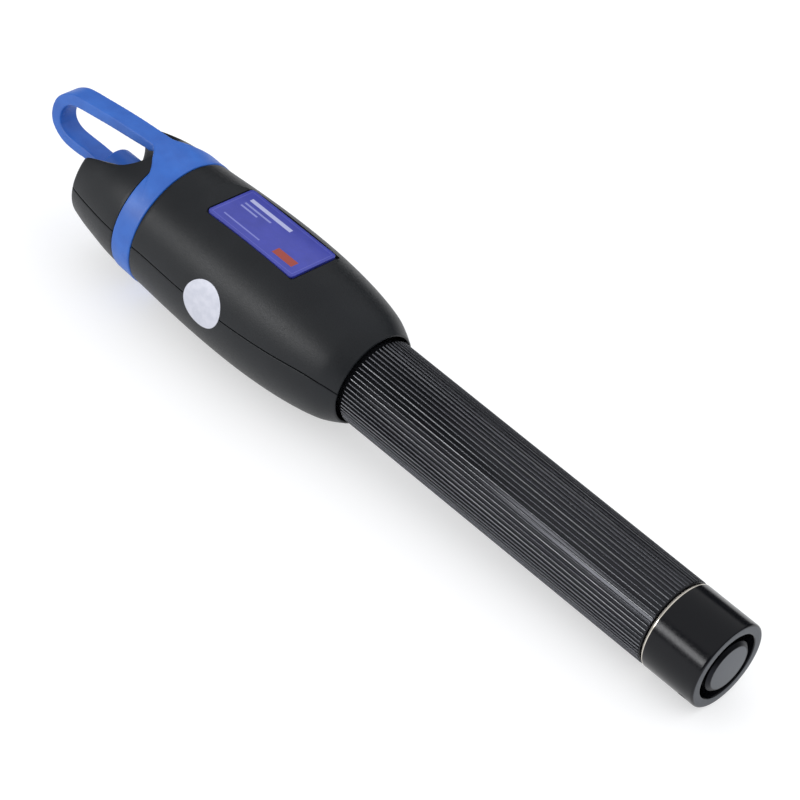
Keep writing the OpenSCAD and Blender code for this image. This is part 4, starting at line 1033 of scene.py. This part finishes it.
# %% Turned and blasted button
# Aluminium, turned and bead-blasted: satin grey, with fine rings 0.15 mm apart that
# bend the light round the centre. Its bevel and the face's outer rim are painted dark, a
# painted shade.
RING_PITCH, GRAIN = 0.15, 0.15
button_grey, tree, into, coords = started("blasted_turned_aluminium", "#5d6065", 0.42, 1.0)
s_place = add(tree, "ShaderNodeSeparateXYZ", (coords,))
y_place, z_place = s_place.node.outputs[1], s_place.node.outputs[2]
across = add(tree, "ShaderNodeCombineXYZ", {"Y": y_place, "Z": z_place})
from_axis = add(tree, "ShaderNodeVectorMath", (across,), operation="LENGTH")
turns = (from_axis, 2 * np.pi / (RING_PITCH * MM))
turns = add(tree, "ShaderNodeMath", turns, operation="MULTIPLY")
turns = add(tree, "ShaderNodeMath", (turns,), operation="SINE")
blast = add(tree, "ShaderNodeTexNoise", {"Vector": coords, "Scale": 1000 / GRAIN, "Detail": 2.0})
height = add(tree, "ShaderNodeMath", (turns, 0.2, blast), operation="MULTIPLY_ADD")
bumps = add(tree, "ShaderNodeBump", {"Height": height, "Distance": 0.01 * MM, "Strength": 0.5})
tree.links.new(bumps, into["Normal"])
# painted shade: from 5.4 mm out from the axis, the face's rim, the bevel and the side are painted
# dark grey
painted_bevel_shade = add(tree, "ShaderNodeMapRange", (from_axis, 5.3 * MM, 5.4 * MM, 0, 1))
grain = add(tree, "ShaderNodeMapRange", (blast, 0.3, 0.7, 0, 1))
darker, paler, dyed_black_and_bevel_shade = linear("#595c61"), linear("#62656a"), linear("#26272b")
tone = add(tree, "ShaderNodeMix", (grain, darker, paler), data_type="RGBA")
tone = add(tree, "ShaderNodeMix", (painted_bevel_shade, tone, dyed_black_and_bevel_shade), data_type="RGBA")
tree.links.new(tone, into["Base Color"])
print(button_grey.name, "has", len(tree.nodes), "nodes")

# %% [markdown]
# ## The pieces inside
# The port, the optics, the board, the cells and the switch are seen only when the cap
# is off or the pen is taken apart. Their measured solids stay as they are, and each
# gets the finish of its real material. Fifteen trees could be written out, but machined,
# plated and moulded surfaces all vary in the same way, between two close tones in
# patches of a stated size, so one function makes them.

# %% Finishes of the inner pieces
def inner_finish(name, light, dark, roughness, metallic, ior, patch_size):
    """A finish that varies in tone, gloss and height in patches of that many millimetres"""
    material, tree, into, coords = started(name, light, roughness, metallic, ior)
    scale = 1000 / patch_size
    patch = add(tree, "ShaderNodeTexNoise", {"Vector": coords, "Scale": scale, "Detail": 3.0})
    mixed = add(tree, "ShaderNodeMapRange", (patch, 0.3, 0.7, 0, 1))
    tone = add(tree, "ShaderNodeMix", (mixed, linear(light), linear(dark)), data_type="RGBA")
    tree.links.new(tone, into["Base Color"])
    gloss = (patch, 0.3, 0.7, roughness - 0.06, roughness + 0.06)
    tree.links.new(add(tree, "ShaderNodeMapRange", gloss), into["Roughness"])
    bumps = {"Height": patch, "Distance": 0.01 * MM, "Strength": 0.4}
    tree.links.new(add(tree, "ShaderNodeBump", bumps), into["Normal"])
    return material


# for each slot: the name, two tones, roughness, metallic, IOR and the patches' size
INNER = {
    # rolled steel under zinc: pale, slightly cloudy
    "screw_steel": ("zinc_plated_rolled_steel", "#a9acb1", "#94979c", 0.35, 1.0, 1.5, 0.6),
    # turned brass under nickel: warm silver, nearly a mirror
    "plated_brass": ("nickel_plated_turned_brass", "#d0cdc6", "#bdb9b0", 0.22, 1.0, 1.5, 0.8),
    # ground ceramic: milky white with a hard gloss
    "zirconia": ("ground_white_zirconia", "#f0eee8", "#e4e1d8", 0.2, 0.0, 2.1, 0.5),
    # turned brass left bare: yellow, with a little tarnish
    "bare_brass": ("bare_turned_brass", "#c9a24d", "#b58d3d", 0.3, 1.0, 1.5, 0.8),
    # moulded glass: pale blue-grey and smooth
    "lens_glass": ("moulded_lens_glass", "#dfeaf0", "#d4e2ea", 0.1, 0.0, 1.59, 1.5),
    # moulded nylon dyed black: a dull, fine skin
    "black_nylon": ("moulded_black_nylon", "#222326", "#2b2d30", 0.5, 0.0, 1.53, 0.8),
    # machined nylon, undyed: cream, like wax
    "natural_nylon": ("machined_natural_nylon", "#e6e1d2", "#d8d2c0", 0.45, 0.0, 1.53, 0.8),
    # pressed steel under gold: bright yellow with softened edges
    "gilt_steel": ("gilt_pressed_steel", "#d8b862", "#c4a24c", 0.25, 1.0, 1.5, 0.5),
    # glass laminate under solder mask: green and glossy, the weave just seen
    "board_laminate": ("masked_glass_laminate", "#1f6b3c", "#1a5e34", 0.35, 0.0, 1.55, 0.7),
    # pressed and sintered oxide: grey and chalky
    "ferrite": ("sintered_ferrite", "#4c4d50", "#3c3d40", 0.6, 0.0, 1.6, 0.4),
    # fired ceramic chips: tan, satin
    "capacitor_ceramic": ("fired_brown_ceramic", "#b39062", "#a07d51", 0.5, 0.0, 1.55, 0.3),
    # extruded wire sleeves: waxy red and black
    "red_insulation": ("extruded_red_sleeve", "#b8262a", "#a31f23", 0.4, 0.0, 1.5, 0.5),
    "black_insulation": ("extruded_black_sleeve", "#1c1c1e", "#262629", 0.4, 0.0, 1.5, 0.5),
    # moulded nitrile: dull brown
    "ring_rubber": ("moulded_brown_nitrile", "#6e2c20", "#7d3527", 0.55, 0.0, 1.52, 0.5),
    # heat-shrunk film: gold-brown with long soft waves
    "cell_wrap": ("shrunk_film_wrap", "#8a6f2f", "#7c6228", 0.3, 0.0, 1.5, 6.0),
}
finishes = {slot: inner_finish(*looks) for slot, looks in INNER.items()}
print("inner finishes:", len(finishes))

# %% Every piece gets its finish
finishes.update(head_plastic=head_black, soft_blue=soft_blue, label_face=label_print,
                seal_foil=foil, anodised_tube=tube_black, anodised_cap=cap_black,
                button_metal=button_grey)
for piece in (upper_half, lower_half, soft_strap, dust_cap, label, seal, tail_cap, button):
    piece.data.materials.clear()
    piece.data.materials.append(finishes[piece["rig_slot"]])
for part in frame["record"]["subparts"]:
    for place in frame["nodes"][part["node"]].material_slots:
        place.material = finishes[part["material_slot"]]
print("finishes:", len(finishes))

# %% [markdown]
# ## The floor
# The pen is round, so it lies on two circles: the blue ring on the head and the end of
# the tail cap. In the pen's own frame the floor leans, by the steepest line from the
# cap's edge that still touches a point of the head. Tilting the pen would break its
# frame, and a floor that leans everywhere would hide it from a low view at the tail, so
# the floor is level before the port's mouth and behind the cap's rounded edge, and leans
# only between them.

# %% A floor that the pen rests on
touch = Vector(((TAIL_FACE - CAP_ROUND - PORT) * MM, 0, -TUBE_RADIUS * MM))
lean = 0.0
for piece in (lower_half, soft_strap):
    places = np.empty(3 * len(piece.data.vertices))
    piece.data.vertices.foreach_get("co", places)
    x, _, z = places.reshape(-1, 3).T
    lean = max(lean, float(np.arctan2(touch.z - z, touch.x - x).max()))
work = bmesh.new()
bmesh.ops.create_grid(work, x_segments=600, y_segments=2, size=3.0)
floor_mesh = bpy.data.meshes.new("floor")
work.to_mesh(floor_mesh)
work.free()
for corner in floor_mesh.vertices:
    before_cap = min(max(touch.x - corner.co.x, 0), touch.x)
    corner.co.z = touch.z - before_cap * np.tan(lean)
floor = shown("floor", floor_mesh)
# acrylic, cast and sanded matt, on a light table: white, and lit a little from below,
# so that the shadows stay pale
table, _, into, _ = started("lit_white_acrylic", "#c0c0c0", 1.0)
into["Specular IOR Level"].default_value = 0.0
into["Emission Color"].default_value = linear("#ffffff")
into["Emission Strength"].default_value = 0.55
floor.data.materials.append(table)
print("floor leans", round(float(np.degrees(lean)), 2), "degrees")

# %% [markdown]
# ## The camera
# A camera can be placed by eye, but here its place was worked out from the photograph's
# perspective: where the ends and widths of the pen fall in the frame fixes the three
# directions of its view, its distance and its long lens.

# %% The camera, turned by its own right, up and back directions
right = Vector((0.69925299, 0.6818352, 0.21481626))
up = Vector((-0.56651388, 0.34524761, 0.74824201))
back = Vector((0.43601294, -0.64490686, 0.62768452))
lens = bpy.data.cameras.new("camera")
lens.sensor_width, lens.lens, lens.clip_end = 36, 180.74, 20
camera = bpy.data.objects.new("camera", lens)
bpy.context.scene.collection.objects.link(camera)
view_turn = Matrix((right, up, back)).transposed().to_4x4()
camera.matrix_world = Matrix.Translation((0.462003, -0.550892, 0.536505)) @ view_turn
bpy.context.scene.camera = camera
print("camera at", [round(c, 3) for c in camera.matrix_world.translation])

# %% [markdown]
# ## The light
# A pale world and a soft lamp overhead light everything evenly. Black surfaces show
# mostly what they mirror. One set of lamps for both would make the blacks grey or the
# whites dull, so reflections are lit on their own: a wide dim card above gives the sheen
# on top, and one long strip, low at the near side, draws the streak on the cap.

# %% Soft lamps
def lamp(name, aim, away, width, height, radiance, mirrored=True):
    """A soft lamp in a direction from a point of the pen, with its brightness per area"""
    light = bpy.data.lights.new(name, "AREA")
    light.shape, light.size, light.size_y = "RECTANGLE", width, height
    light.energy = radiance * np.pi * width * height
    holder = bpy.data.objects.new(name, light)
    bpy.context.scene.collection.objects.link(holder)
    holder.visible_glossy = mirrored
    away = Vector(away)
    facing = away.to_track_quat("Z", "Y").to_matrix().to_4x4()
    holder.matrix_world = Matrix.Translation(Vector(aim) + away) @ facing
    return holder


middle = (0.11, 0, 0)
lamp("soft_overhead", middle, (0, 0, 1.0), 2.6, 2.6, 0.3, mirrored=False)
card = lamp("card_overhead", middle, (0, 0.1, 1.0), 3.0, 3.0, 0.7)
strip = lamp("strip_low_at_the_near_side", middle, (-0.28, -0.68, 0.235), 0.7, 0.18, 10.0)
card.visible_diffuse = strip.visible_diffuse = False

# %% The pale world
world = bpy.data.worlds.new("studio")
bpy.context.scene.world = world
world.use_nodes = True
sky = world.node_tree.nodes["Background"].inputs
sky["Color"].default_value = linear("#f4f6fa")
sky["Strength"].default_value = 0.95
world.cycles_visibility.glossy = False
bpy.context.scene.view_settings.view_transform = "Standard"
print("world:", world.name)

# %% [markdown]
# ## The end
# The dressed model has to stay the size of the measured one.

# %% Done
print("done")
